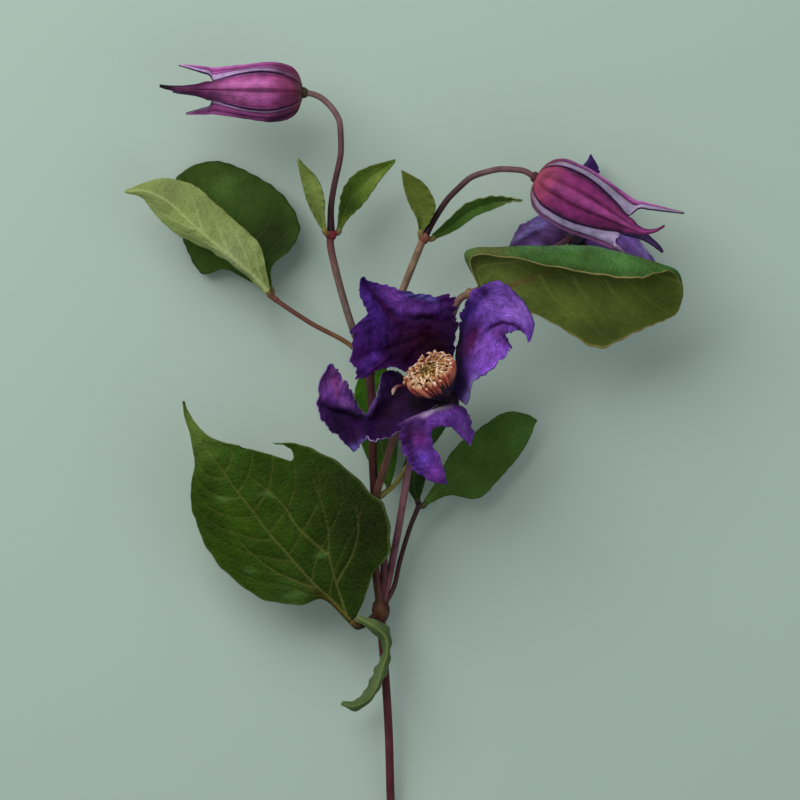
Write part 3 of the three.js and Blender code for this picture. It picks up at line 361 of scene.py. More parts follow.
def add_node(tree: Tree, kind: str, inputs: dict[str | int, object] | None = None,
             **settings: object) -> bpy.types.Node:
    """Adds one shader node with its settings, its values and its links.

    Args:
        tree: The material's node tree.
        kind: The node's type name.
        inputs: Each input's name or number, with its value or the output that feeds it.
        **settings: Properties of the node itself.

    Returns:
        The new node.
    """
    node = tree.nodes.new(kind)
    for name, value in settings.items():
        setattr(node, name, value)
    for name, value in (inputs or {}).items():
        if isinstance(value, Socket):
            tree.links.new(value, node.inputs[name])
        else:
            node.inputs[name].default_value = value
    return node


def per_metre(size_mm: float) -> float:
    """The scale of a texture on metre coordinates whose features are that many millimetres wide."""
    return 1 / (size_mm * MM)


def smooth_step(values: np.ndarray, low: float, high: float) -> np.ndarray:
    """Rises smoothly from 0 at low to 1 at high."""
    share = np.clip((values - low) / (high - low), 0, 1)
    return share * share * (3 - 2 * share)


def bump_at(values: np.ndarray, centre: float, width: float) -> np.ndarray:
    """A rounded hump of height 1 round a centre."""
    return np.exp(-(((values - centre) / width) ** 2))


def wander(points: np.ndarray, size_mm: float, seed: float) -> np.ndarray:
    """Smooth noise from -1 to 1 at points in space.

    Args:
        points: One row of x, y, z in millimetres for each place.
        size_mm: The width of one swell of the noise.
        seed: Moves to another stretch of the noise.

    Returns:
        One value for each point.
    """
    offset = Vector((seed * 17.3, seed * -9.1, seed * 5.7))
    return np.array([noise.noise(Vector(p) / size_mm + offset) for p in points.tolist()])


def spline(points: np.ndarray, at: np.ndarray, matched: bool = False) -> np.ndarray:
    """Follows a smooth curve through points, the same curve as in the part's source.

    Args:
        points: The points along the first axis, of any further shape.
        at: Places along the curve, from 0 to 1.
        matched: If true, the second axis holds one curve for each place.

    Returns:
        The curve's value for each place.
    """
    first = 2 * points[0] - points[1]
    last = 2 * points[-1] - points[-2]
    padded = np.concatenate([[first], points, [last]])
    place = at * (len(points) - 1)
    span = np.clip(np.floor(place).astype(int), 0, len(points) - 2)
    curves = (np.arange(len(at)),) if matched else ()
    a, b, c, d = (padded[(span + k, *curves)] for k in range(4))
    t = (place - span).reshape((-1,) + (1,) * (a.ndim - 1))
    leave, arrive = (c - a) / 2, (d - b) / 2
    return b + leave * t + (3 * (c - b) - 2 * leave - arrive) * t**2 + (2 * (b - c) + leave + arrive) * t**3


def sheet_points(rows: list[Row], across: np.ndarray, along: np.ndarray) -> np.ndarray:
    """Places on the smooth sheet through a blade's cross-sections.

    Args:
        rows: The cross-sections from base to tip.
        across: How far each place is from the left edge to the right, from 0 to 1.
        along: How far each place is from base to tip, from 0 to 1.

    Returns:
        One row of x, y, z in millimetres for each place.
    """
    net = np.array(rows, dtype=float).transpose(1, 0, 2)
    stations = spline(net, across).transpose(1, 0, 2)
    return spline(stations, along, matched=True)


def sheet_normals(rows: list[Row], across: np.ndarray, along: np.ndarray) -> np.ndarray:
    """Unit normals of that sheet, on the side where the cross-sections run from left to right.

    Args:
        rows: The cross-sections from base to tip.
        across: How far each place is from the left edge to the right, from 0 to 1.
        along: How far each place is from base to tip, from 0 to 1.

    Returns:
        One normal for each place.
    """
    sideways = sheet_points(rows, across + NUDGE, along) - sheet_points(rows, across - NUDGE, along)
    forwards = sheet_points(rows, across, along + NUDGE) - sheet_points(rows, across, along - NUDGE)
    normals = np.cross(sideways, forwards)
    return normals / np.maximum(np.linalg.norm(normals, axis=1, keepdims=True), TINY)


def blend(colours: np.ndarray, code: str, share: np.ndarray) -> np.ndarray:
    """Blends one more tint over the colours by a share for each."""
    return colours + (np.array(linear(code)) - colours) * share[:, None]


def line_distance(points: np.ndarray, line: np.ndarray) -> tuple[np.ndarray, np.ndarray]:
    """How far each point is from a line of straight stretches, and how far along the line it falls.

    Args:
        points: One row of coordinates for each place.
        line: The line's points in order.

    Returns:
        The distances, and the shares of the line from 0 to 1.
    """
    nearest = np.full(len(points), np.inf)
    share = np.zeros(len(points))
    stretches = len(line) - 1
    for number in range(stretches):
        start, end = line[number], line[number + 1]
        run = end - start
        part = np.clip(((points - start) @ run) / max(run @ run, TINY), 0, 1)
        distance = np.linalg.norm(points - start - part[:, None] * run, axis=1)
        closer = distance < nearest
        nearest = np.where(closer, distance, nearest)
        share = np.where(closer, (number + part) / stretches, share)
    return nearest, share


def along_line(points: np.ndarray, line: Line, reach: float, ends: float) -> np.ndarray:
    """How close points are to a line on the table plane, fading at both its ends.

    Args:
        points: One row of x, y, z for each place.
        line: The line's points in order.
        reach: How far from the line the closeness falls to about a third.
        ends: How much is left at the line's ends, the smaller the less.

    Returns:
        From 0 to 1 for each place.
    """
    distance, share = line_distance(points[:, :2], np.array(line, dtype=float))
    return bump_at(distance, 0, reach) * np.sin(math.pi * (ends + (1 - 2 * ends) * share)) ** 0.5


@dataclass(frozen=True)
class Spot:
    """A soft patch of another tint on a blade, at a place on the table plane in millimetres. Some patches
    are the blade's own colour, others painted highlights and painted shade.
    """

    x: float
    y: float
    reach: float
    colour: str
    strength: float = 1.0

    def share(self, points: np.ndarray) -> np.ndarray:
        """How strongly it covers each point."""
        distance = np.hypot(points[:, 0] - self.x, points[:, 1] - self.y)
        return self.strength * bump_at(distance, 0, self.reach)


@dataclass(frozen=True)
class Streak:
    """A soft line of another tint along a blade, through places on the table plane in millimetres. Some
    lines are the blade's own colour, others painted highlights and painted shade.
    """

    line: Line
    reach: float
    colour: str
    strength: float = 1.0

    def share(self, points: np.ndarray) -> np.ndarray:
        """How strongly it covers each point, fading at both ends."""
        return self.strength * along_line(points, self.line, self.reach, 0.1)


@dataclass(frozen=True)
class Fold:
    """A rounded ridge, or a crease where its height is below nothing, along a line on a blade."""

    line: Line
    reach: float
    height: float

    def lift(self, points: np.ndarray) -> np.ndarray:
        """How far it lifts each point along the normal, in millimetres."""
        return self.height * along_line(points, self.line, self.reach, 0.06)


@dataclass(frozen=True)
class Paint:
    """What is painted on one face of a blade: its tint and broad edges, then marks, which include painted
    highlights and painted shade, and a thin rim.
    """

    tint: str
    marks: tuple[Spot | Streak, ...] = ()
    edge: str = ""
    rim: str = ""

    def base(self, across: np.ndarray, along: np.ndarray) -> np.ndarray:
        """The linear colours without the marks.

        Args:
            across: How far each place is from the left edge to the right, from 0 to 1.
            along: Not used here; a bud's paint reads how far each place is from base to tip.

        Returns:
            One colour for each place.
        """
        colours = np.tile(np.array(linear(self.tint)), (len(across), 1))
        if self.edge:
            colours = blend(colours, self.edge, 0.5 * smooth_step(np.abs(2 * across - 1), 0.5, 1.0))
        return colours

    def on(self, across: np.ndarray, along: np.ndarray, points: np.ndarray) -> np.ndarray:
        """The linear colours of one face, with the marks and the rim over its base.

        Args:
            across: How far each place is from the left edge to the right, from 0 to 1.
            along: How far each place is from base to tip, from 0 to 1.
            points: The places in space, in millimetres.

        Returns:
            One colour for each place.
        """
        colours = self.base(across, along)
        for mark in self.marks:
            colours = blend(colours, mark.colour, mark.share(points))
        if self.rim:
            colours = blend(colours, self.rim, 0.85 * smooth_step(np.abs(2 * across - 1), 0.965, 0.99))
        return colours


@dataclass(frozen=True)
class Wires:
    """A material's node tree, and the sockets that every finish starts from.

    The tint is what is painted on the mesh, place is object coordinates in metres, and flat is the
    piece's own UV map, across and along it.
    """

    tree: Tree
    tint: Socket
    place: Socket
    flat: Socket

    def add(self, kind: str, inputs: dict[str | int, object] | None = None,
            **settings: object) -> bpy.types.Node:
        """Adds one shader node to the tree."""
        return add_node(self.tree, kind, inputs, **settings)

    def scaled(self, colour: Socket, factor: Socket | float) -> Socket:
        """Multiplies a colour or a vector by one factor."""
        node = self.add("ShaderNodeVectorMath", {0: colour, "Scale": factor}, operation="SCALE")
        return node.outputs["Vector"]

    def varied(self, colour: Socket, size_mm: float, low: float, high: float,
               detail: float = 3.0) -> tuple[Socket, Socket]:
        """Darkens and lightens a colour in soft patches.

        Args:
            colour: The colour to vary.
            size_mm: The width of a patch.
            low: The darkest factor.
            high: The lightest factor.
            detail: How many finer layers the patches have.

        Returns:
            The varied colour, and the noise from 0 to 1.
        """
        patches = self.add("ShaderNodeTexNoise", {
            "Vector": self.place, "Scale": per_metre(size_mm), "Detail": detail, "Roughness": 0.6,
        })
        factor = self.add("ShaderNodeMapRange", {
            "Value": patches.outputs["Fac"], "From Min": 0.3, "From Max": 0.7,
            "To Min": low, "To Max": high,
        })
        return self.scaled(colour, factor.outputs["Result"]), patches.outputs["Fac"]

    def mixed(self, share: Socket, first: Socket, second: Socket | Colour) -> Socket:
        """Mixes two colours: the first where the share is 0, the second where it is 1."""
        return self.add("ShaderNodeMix", {0: share, 6: first, 7: second}, data_type="RGBA").outputs[2]

    def combined(self, operation: str, first: Socket, second: Socket | float) -> Socket:
        """One value worked out from two."""
        return self.add("ShaderNodeMath", {0: first, 1: second}, operation=operation).outputs[0]

    def weighted_sum(self, *terms: tuple[Socket, float]) -> Socket:
        """Adds up several heights, each times its own weight.

        Args:
            *terms: Each height with its weight.

        Returns:
            The sum.
        """
        parts = [self.combined("MULTIPLY", socket, weight) for socket, weight in terms]
        total = parts[0]
        for part in parts[1:]:
            total = self.combined("ADD", total, part)
        return total

    def drawn_noise(self, swells: Place, detail: float, roughness: float = 0.5,
                    distortion: float = 0.0) -> Socket:
        """Noise drawn out along a piece or across it.

        Args:
            swells: How many swells there are across it and along it.
            detail: How many finer layers the noise has.
            roughness: How strong those are.
            distortion: How far the swells are bent.

        Returns:
            The noise, from 0 to 1.
        """
        stretched = self.add("ShaderNodeMapping", {"Vector": self.flat, "Scale": swells})
        return self.add("ShaderNodeTexNoise", {
            "Vector": stretched.outputs["Vector"], "Scale": 1.0, "Detail": detail, "Roughness": roughness,
            "Distortion": distortion,
        }).outputs["Fac"]


@dataclass(frozen=True)
class Finish:
    """What every finish of this plant shares: a tint painted on the mesh, and a shader over it."""

    name: str
    roughness: float
    sheen: float = 0.0
    sheen_tint: str = "#ffffff"
    specular: float = 0.35
    layer: Layer = Layer.UPPER

    def material(self) -> bpy.types.Material:
        """Makes this finish once, and gives the same material for every later piece.

        Returns:
            The material.
        """
        known = bpy.data.materials.get(self.name)
        if known:
            return known
        made = bpy.data.materials.new(self.name)
        made.use_nodes = True
        tree = made.node_tree
        tree.nodes.clear()
        tint = add_node(tree, "ShaderNodeAttribute", attribute_name=self.layer.value).outputs["Color"]
        place = add_node(tree, "ShaderNodeTexCoord")
        wires = Wires(tree, tint, place.outputs["Object"], place.outputs["UV"])
        colour, height, depth_mm = self.surface(wires)
        bump = wires.add("ShaderNodeBump", {
            "Height": height, "Strength": 1.0, "Distance": depth_mm * MM,
        })
        shader = wires.add("ShaderNodeBsdfPrincipled", {
            "Base Color": colour,
            "Roughness": self.roughness,
            "Specular IOR Level": self.specular,
            "Sheen Weight": self.sheen,
            "Sheen Roughness": 0.4,
            "Sheen Tint": linear(self.sheen_tint),
            "Normal": bump.outputs["Normal"],
        })
        wires.add("ShaderNodeOutputMaterial", {"Surface": shader.outputs["BSDF"]})
        return made

    def surface(self, wires: Wires) -> Look:
        """Works out the colour and the relief over the painted tint.

        Args:
            wires: The material's tree, with the sockets to start from.

        Returns:
            The colour, the relief from 0 to 1, and the relief's depth in millimetres.
        """
        raise NotImplementedError


@dataclass(frozen=True)
class LeafSkin(Finish):
    """Living leaf skin with a fine net of veins: half matt, a little uneven in its green.

    The net's meshes are about 1.7 mm wide and puff up slightly between the veins, which gives the eye
    the soft quilted gleam of a fresh leaf.
    """

    vein_colour: str = "#6b7a3a"
    vein_strength: float = 0.6
    net_strength: float = 0.1
    net_size_mm: float = 1.7
    relief_mm: float = 0.22
    patchiness: float = 0.3
    patch_mm: float = 9.0
    grain_mm: float = 0.8
    warp_size_mm: float = 5.0
    warp_reach_mm: float = 1.5
    line_reach: float = 0.09
    puff_reach: float = 0.35

    def surface(self, wires: Wires) -> Look:
        """Green skin: patches, the net and the larger veins, which the mesh carries as a mask.

        Args:
            wires: The material's tree, with the sockets to start from.

        Returns:
            The colour, the relief from 0 to 1, and the relief's depth in millimetres.
        """
        green, _ = wires.varied(wires.tint, self.patch_mm, 1 - self.patchiness, 1 + self.patchiness)
        green, grain = wires.varied(green, self.grain_mm, 0.86, 1.14, 2.0)
        warp = wires.add("ShaderNodeTexNoise", {
            "Vector": wires.place, "Scale": per_metre(self.warp_size_mm), "Detail": 2.0,
        })
        shift = wires.scaled(warp.outputs["Color"], self.warp_reach_mm * MM)
        bent = wires.add("ShaderNodeVectorMath", {0: wires.place, 1: shift}, operation="ADD")
        net = wires.add("ShaderNodeTexVoronoi", {
            "Vector": bent.outputs["Vector"], "Scale": per_metre(self.net_size_mm), "Randomness": 1.0,
        }, feature="DISTANCE_TO_EDGE")
        line = wires.add("ShaderNodeMapRange", {
            "Value": net.outputs["Distance"], "From Min": 0.0, "From Max": self.line_reach,
            "To Min": self.net_strength, "To Max": 0.0,
        })
        puff = wires.add("ShaderNodeMapRange", {
            "Value": net.outputs["Distance"], "From Min": 0.0, "From Max": self.puff_reach,
        }, interpolation_type="SMOOTHSTEP")
        vein = wires.add("ShaderNodeAttribute", attribute_name="vein").outputs["Fac"]
        strength = wires.combined("MULTIPLY", vein, self.vein_strength)
        share = wires.combined("MAXIMUM", strength, line.outputs["Result"])
        colour = wires.mixed(share, green, linear(self.vein_colour))
        height = wires.weighted_sum((puff.outputs["Result"], 0.55), (grain, 0.45))
        return colour, height, self.relief_mm


@dataclass(frozen=True)
class SepalSilk(Finish):
    """Thin silky sepal tissue: fine streaks run from base to tip, and its wrinkles catch a soft sheen.

    The streaks only deepen the tint that is there. The pleats, where it has them, run across it. The
    swells say how many wrinkles and pleats there are across a sepal and along it.
    """

    streak_strength: float = 0.45
    streaks_across: float = 34.0
    relief_mm: float = 0.5
    # How much the wrinkles' folds are painted darker and their crests lighter: painted shade and painted
    # highlight
    painted_fold_shade: float = 0.25
    pleats: float = 0.0
    patch_mm: float = 4.0
    streaks_along: float = 5.0
    crinkle_swells: Place = (62.0, 27.0, 1.0)
    pleat_swells: Place = (3.5, 46.0, 1.0)

    def surface(self, wires: Wires) -> Look:
        """Violet skin: streaks along the sepal, and wrinkles with painted shade in their folds and a
        painted highlight on their crests.

        Args:
            wires: The material's tree, with the sockets to start from.

        Returns:
            The colour, the relief from 0 to 1, and the relief's depth in millimetres.
        """
        violet, swells = wires.varied(wires.tint, self.patch_mm, 0.6, 1.4, 4.0)
        streaks = wires.drawn_noise((self.streaks_across, self.streaks_along, 1.0), 4.0, 0.62, 0.35)
        share = wires.add("ShaderNodeMapRange", {
            "Value": streaks, "From Min": 0.42, "From Max": 0.72,
            "To Min": 0.0, "To Max": self.streak_strength,
        })
        colour = wires.mixed(share.outputs["Result"], violet, wires.scaled(violet, 0.4))
        crinkle = wires.drawn_noise(self.crinkle_swells, 4.0, 0.65, 0.5)
        pleat = wires.drawn_noise(self.pleat_swells, 3.0, 0.6, 1.1)
        wrinkles = wires.weighted_sum((crinkle, 1 - self.pleats), (pleat, self.pleats))
        # The same wrinkles that raise the relief scale the colour: painted shade in their folds, painted
        # highlight on their crests
        folds = wires.add("ShaderNodeMapRange", {
            "Value": wrinkles, "From Min": 0.4, "From Max": 0.6,
            "To Min": 1 - self.painted_fold_shade, "To Max": 1 + self.painted_fold_shade,
        })
        height = wires.weighted_sum((streaks, 0.55), (wrinkles, 0.65), (swells, 0.3))
        return wires.scaled(colour, folds.outputs["Result"]), height, self.relief_mm


@dataclass(frozen=True)
class StalkSkin(Finish):
    """Ribbed green-stem skin flushed wine red: long faint ribs under a bloom of very short down."""

    patch_mm: float = 4.0
    rib_swells: Place = (9.0, 3.0, 1.0)
    down_mm: float = 0.35
    relief_mm: float = 0.25

    def surface(self, wires: Wires) -> Look:
        """Wine skin: patches, long ribs and grainy down.

        Args:
            wires: The material's tree, with the sockets to start from.

        Returns:
            The colour, the relief from 0 to 1, and the relief's depth in millimetres.
        """
        wine, _ = wires.varied(wires.tint, self.patch_mm, 0.75, 1.25)
        ribs = wires.drawn_noise(self.rib_swells, 3.0)
        darker = wires.add("ShaderNodeMapRange", {
            "Value": ribs, "From Min": 0.35, "From Max": 0.65, "To Min": 1.2, "To Max": 0.78,
        })
        down = wires.add("ShaderNodeTexNoise", {
            "Vector": wires.place, "Scale": per_metre(self.down_mm), "Detail": 2.0,
        })
        height = wires.weighted_sum((ribs, 0.7), (down.outputs["Fac"], 0.3))
        return wires.scaled(wine, darker.outputs["Result"]), height, self.relief_mm


@dataclass(frozen=True)
class StamenSkin(Finish):
    """Stamens: fleshy filaments and dry pollen-dusted tips, so the light on them is soft and grainy."""

    grain_mm: float = 0.7
    relief_mm: float = 0.2

    def surface(self, wires: Wires) -> Look:
        """Cream to rust skin with a fine grain."""
        colour, grain = wires.varied(wires.tint, self.grain_mm, 0.7, 1.3)
        return colour, grain, self.relief_mm


# The finishes of this plant
QUILTED_LEAF_TOP = LeafSkin("quilted_leaf_upper_skin", 0.55, specular=0.05, vein_colour="#6a6a34",
                            net_strength=0.07, relief_mm=0.27)
LEAF_TOP = LeafSkin("fresh_leaf_upper_skin", 0.6, specular=0.05, vein_colour="#5c6a34", vein_strength=0.4,
                    net_strength=0.03, relief_mm=0.12, patchiness=0.22)
LEAF_BACK = LeafSkin("fresh_leaf_underside_skin", 0.65, specular=0.06, layer=Layer.UNDER, patchiness=0.22,
                     vein_colour="#75803f", vein_strength=0.5, net_strength=0.03, relief_mm=0.12)
BRIGHT_LEAF_BACK = LeafSkin("pale_leaf_underside_skin", 0.65, specular=0.08, layer=Layer.UNDER,
                            vein_colour="#a9b47c", vein_strength=0.7, net_strength=0.03, relief_mm=0.16,
                            patchiness=0.22)
SILK = SepalSilk("violet_sepal_silk", 0.48, sheen=0.03, sheen_tint="#a98af0", specular=0.07,
                 streak_strength=0.5, relief_mm=0.7, painted_fold_shade=0.36, pleats=0.2)
SILK_BACK = SepalSilk("lavender_sepal_back", 0.55, sheen=0.08, sheen_tint="#b9a2f0", specular=0.1,
                      layer=Layer.UNDER, streak_strength=0.8, streaks_across=20.0)
BUD_SKIN = SepalSilk("magenta_bud_skin", 0.45, sheen=0.04, sheen_tint="#d8a8e0", specular=0.14,
                     streak_strength=0.5, streaks_across=22.0, relief_mm=0.25, painted_fold_shade=0.12)
BUD_LINING = SepalSilk("magenta_bud_lining", 0.6, specular=0.15, layer=Layer.UNDER,
                       streak_strength=0.5, relief_mm=0.2, painted_fold_shade=0.12)
WINE_STEM = StalkSkin("wine_red_stem_skin", 0.5, specular=0.14)
POLLEN = StamenSkin("stamen_flesh", 0.6, specular=0.25)


def write_piece(name: str, mesh: bmesh.types.BMesh, finishes: tuple[Finish, ...],
                nodes: tuple[str, ...]) -> bpy.types.Object:
    """Args:
        name: The piece's name.
        mesh: Its shape, in metres. It is freed here.
        finishes: The finish of each of its material numbers.
        nodes: The CAD nodes that it stands for.

    Returns:
        The new object.
    """
    data = bpy.data.meshes.new(name)
    mesh.to_mesh(data)
    mesh.free()
    for finish in finishes:
        data.materials.append(finish.material())
    data.shade_smooth()
    piece = bpy.data.objects.new(name, data)
    bpy.context.scene.collection.objects.link(piece)
    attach(piece, BODY)
    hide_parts(*nodes)
    LOG.info("%s: %d faces", name, len(data.polygons))
    return piece


def inside(points: np.ndarray, outline: np.ndarray) -> np.ndarray:
    """Whether each point lies within a closed outline, both on the table plane.

    Args:
        points: One row of x, y for each point.
        outline: The outline's corners in order.

    Returns:
        True for each point within.
    """
    within = np.zeros(len(points), dtype=bool)
    for start, end in zip(outline, np.roll(outline, -1, axis=0)):
        spans = (start[1] > points[:, 1]) != (end[1] > points[:, 1])
        rise = end[1] - start[1] or TINY
        crossing = start[0] + (points[:, 1] - start[1]) * (end[0] - start[0]) / rise
        within ^= spans & (points[:, 0] < crossing)
    return within


def onto_outline(points: np.ndarray, outline: np.ndarray) -> np.ndarray:
    """The nearest places on a closed outline.

    Args:
        points: One row of x, y for each point.
        outline: The outline's corners in order.

    Returns:
        One row of x, y for each point.
    """
    ring = np.vstack([outline, outline[:1]])
    stretches = len(outline)
    share = line_distance(points, ring)[1] * stretches
    start = np.clip(share.astype(int), 0, stretches - 1)
    return ring[start] + (share - start)[:, None] * (ring[start + 1] - ring[start])


@dataclass
class Blade:
    """A thin leaf or sepal: a smooth sheet through cross-sections, bent further and given its thickness."""

    node: str
    rows: list[Row]
    cells: tuple[int, int]
    slot: Slot
    faces: tuple[Finish, Finish]
    paint: tuple[Paint, Paint]
    folds: tuple[Fold, ...] = ()
    notch: Line = ()
    thickness: float = 0.4
    seed: float = 1.0

    def outline(self, across: np.ndarray, along: np.ndarray) -> tuple[np.ndarray, np.ndarray]:
        """Moves places on the plain sheet so that the blade's edge gets its true outline."""
        return across, along

    def relief(self, across: np.ndarray, along: np.ndarray, points: np.ndarray) -> np.ndarray:
        """How far each place stands out along the normal, in millimetres."""
        return np.zeros(len(points))

    def masks(self, across: np.ndarray, along: np.ndarray) -> dict[str, np.ndarray]:
        """Further values that the finish reads, by their names."""
        return {}

    def cut_notch(self, mesh: bmesh.types.BMesh, points: np.ndarray) -> tuple[np.ndarray, list[int]]:
        """Takes the cells inside the notch away, and lays the cut edge on its outline.

        Args:
            mesh: The blade's grid.
            points: Where its vertices are to go, in millimetres.

        Returns:
            The places of the vertices that are left, and their old numbers.
        """
        edge = np.array(self.notch, dtype=float)
        within = inside(points[:, :2], edge)
        inner = [face for face in mesh.faces if all(within[vertex.index] for vertex in face.verts)]
        bmesh.ops.delete(mesh, geom=inner, context="FACES_ONLY")
        kept = [vertex.index for vertex in mesh.verts if vertex.link_faces]
        loose = [vertex for vertex in mesh.verts if not vertex.link_faces]
        bmesh.ops.delete(mesh, geom=loose, context="VERTS")
        points, within = points[kept], within[kept]
        points[within, :2] = onto_outline(points[within, :2], edge)
        return points, kept

    def build(self) -> bpy.types.Object:
        """Makes the blade: a grid laid on its sheet, painted, and thickened by a modifier.

        Returns:
            The finished piece.
        """
        mesh = bmesh.new()
        cells_across, cells_along = self.cells
        bmesh.ops.create_grid(mesh, x_segments=cells_across, y_segments=cells_along, size=0.5)
        mesh.verts.index_update()
        flat = np.array([vertex.co[:2] for vertex in mesh.verts]) + 0.5
        uv_layer = mesh.loops.layers.uv.new("UVMap")
        for face in mesh.faces:
            for loop in face.loops:
                loop[uv_layer].uv = (loop.vert.co.x + 0.5, loop.vert.co.y + 0.5)
        places = self.places(flat)
        if self.notch:
            places, kept = self.cut_notch(mesh, places)
            flat = flat[kept]
        across, along = flat.T
        painted = {layer: paint.on(across, along, places) for layer, paint in zip(Layer, self.paint)}
        masks = self.masks(across, along)
        tint_layers = {layer: mesh.verts.layers.float_color.new(layer.value) for layer in painted}
        mask_layers = {name: mesh.verts.layers.float.new(name) for name in masks}
        for number, vertex in enumerate(mesh.verts):
            vertex.co = places[number] * MM
            for layer, tint_layer in tint_layers.items():
                vertex[tint_layer] = painted[layer][number]
            for name, mask_layer in mask_layers.items():
                vertex[mask_layer] = masks[name][number]
        mesh.normal_update()
        piece = write_piece(self.node + "_skin", mesh, self.faces, (self.node,))
        wall = piece.modifiers.new("thickness", "SOLIDIFY")
        wall.thickness = self.thickness * MM
        wall.offset = 0
        wall.material_offset = 1
        wall.material_offset_rim = 1
        return piece

    def places(self, flat: np.ndarray) -> np.ndarray:
        """Bends the plain grid into its place in space.

        Args:
            flat: How far each place of the grid is across and along the blade, from 0 to 1.

        Returns:
            One row of x, y, z in millimetres for each place.
        """
        across, along = self.outline(flat[:, 0], flat[:, 1])
        points = sheet_points(self.rows, across, along)
        lift = self.relief(flat[:, 0], flat[:, 1], points)
        for fold in self.folds:
            lift = lift + fold.lift(points)
        return points + sheet_normals(self.rows, across, along) * lift[:, None]


@dataclass
class Leaf(Blade):
    """A leaf with a rib, side veins that arch towards the tip, and a faintly toothed, waved edge."""

    side_veins: int = 5
    vein_width: float = 0.4
    extra_veins: tuple[Line, ...] = ()
    edge_wave: float = 0.3
    edge_waves: float = 9.0
    tooth: float = 0.008
    teeth: float = 17.0
    vein_depth: float = 0.22
    valley: float = 2.0
    swell: float = 0.3
    first_vein: float = 0.06
    vein_span: float = 0.62
    vein_reach: float = 0.44

    def veins(self) -> list[tuple[np.ndarray, float]]:
        """Draws the leaf's veins: its rib, its side veins in pairs and the ones with routes of their own.

        Returns:
            Each vein's points in space, with its width in millimetres.
        """
        steps = np.linspace(0, 1, VEIN_SAMPLES)
        lines = [(sheet_points(self.rows, np.full(VEIN_SAMPLES, 0.5), steps * 0.97), self.vein_width)]
        for number in range(self.side_veins):
            share = number / self.side_veins
            for side in (-1, 1):
                across = 0.5 + side * self.vein_reach * steps**0.9
                base = self.first_vein + self.vein_span * share + 0.012 * side
                along = base + (0.3 - 0.1 * share) * steps**1.25
                path = sheet_points(self.rows, across, np.clip(along, 0, 1))
                lines.append((path, self.vein_width * 0.7))
        for path in self.extra_veins:
            table_line = spline(np.array(path, dtype=float), steps)
            lines.append((table_line, self.vein_width * 0.85))
        return lines

    def vein_mask(self, points: np.ndarray, widen: float = 1.0) -> np.ndarray:
        """How strongly a vein shows at each point of the blade, from 0 to 1.

        Args:
            points: The places, in millimetres.
            widen: How many times wider than the vein itself the mask is.

        Returns:
            One value for each place.
        """
        mask = np.zeros(len(points))
        for line, width in self.veins():
            distance, share = line_distance(points[:, :line.shape[1]], line)
            taper = widen * width * (1.15 - 0.7 * share)
            strength = 1 if width > 0.75 * self.vein_width else 0.6
            mask = np.maximum(mask, strength * np.exp(-((distance / taper) ** 2)) * (1 - 0.55 * share))
        return mask

    def outline(self, across: np.ndarray, along: np.ndarray) -> tuple[np.ndarray, np.ndarray]:
        """Cuts faint teeth into the edge.

        Args:
            across: How far each place is from the left edge to the right, from 0 to 1.
            along: How far each place is from base to tip, from 0 to 1.

        Returns:
            Both shares, moved.
        """
        side = 2 * across - 1
        reach = np.abs(side) ** 6
        teeth = np.sin(2 * math.pi * self.teeth * along + 1.3 * np.sign(side) + 2.1 * np.sin(9 * along))
        return 0.5 + 0.5 * side * (1 + self.tooth * teeth * reach), along

    def relief(self, across: np.ndarray, along: np.ndarray, points: np.ndarray) -> np.ndarray:
        """Sinks the veins, puffs the skin between them and waves the edge.

        Args:
            across: How far each place is from the left edge to the right, from 0 to 1.
            along: How far each place is from base to tip, from 0 to 1.
            points: The places on the plain sheet, in millimetres.

        Returns:
            One height for each place, in millimetres.
        """
        side = 2 * across - 1
        wave = self.edge_wave * np.abs(side) ** 4 * np.sin(math.pi * along)
        wave = wave * np.sin(2 * math.pi * self.edge_waves * along + math.pi * (across > 0.5) + self.seed)
        uneven = wander(points, 7.0, self.seed) + 0.5 * wander(points, 3.2, self.seed + 3)
        swell = self.swell * uneven * np.sin(math.pi * np.clip(along, 0, 1)) ** 0.5
        return wave + swell - self.vein_depth * self.vein_mask(points, self.valley)

    def masks(self, across: np.ndarray, along: np.ndarray) -> dict[str, np.ndarray]:
        """The vein mask that the leaf's skin reads."""
        return {"vein": self.vein_mask(sheet_points(self.rows, *self.outline(across, along)))}


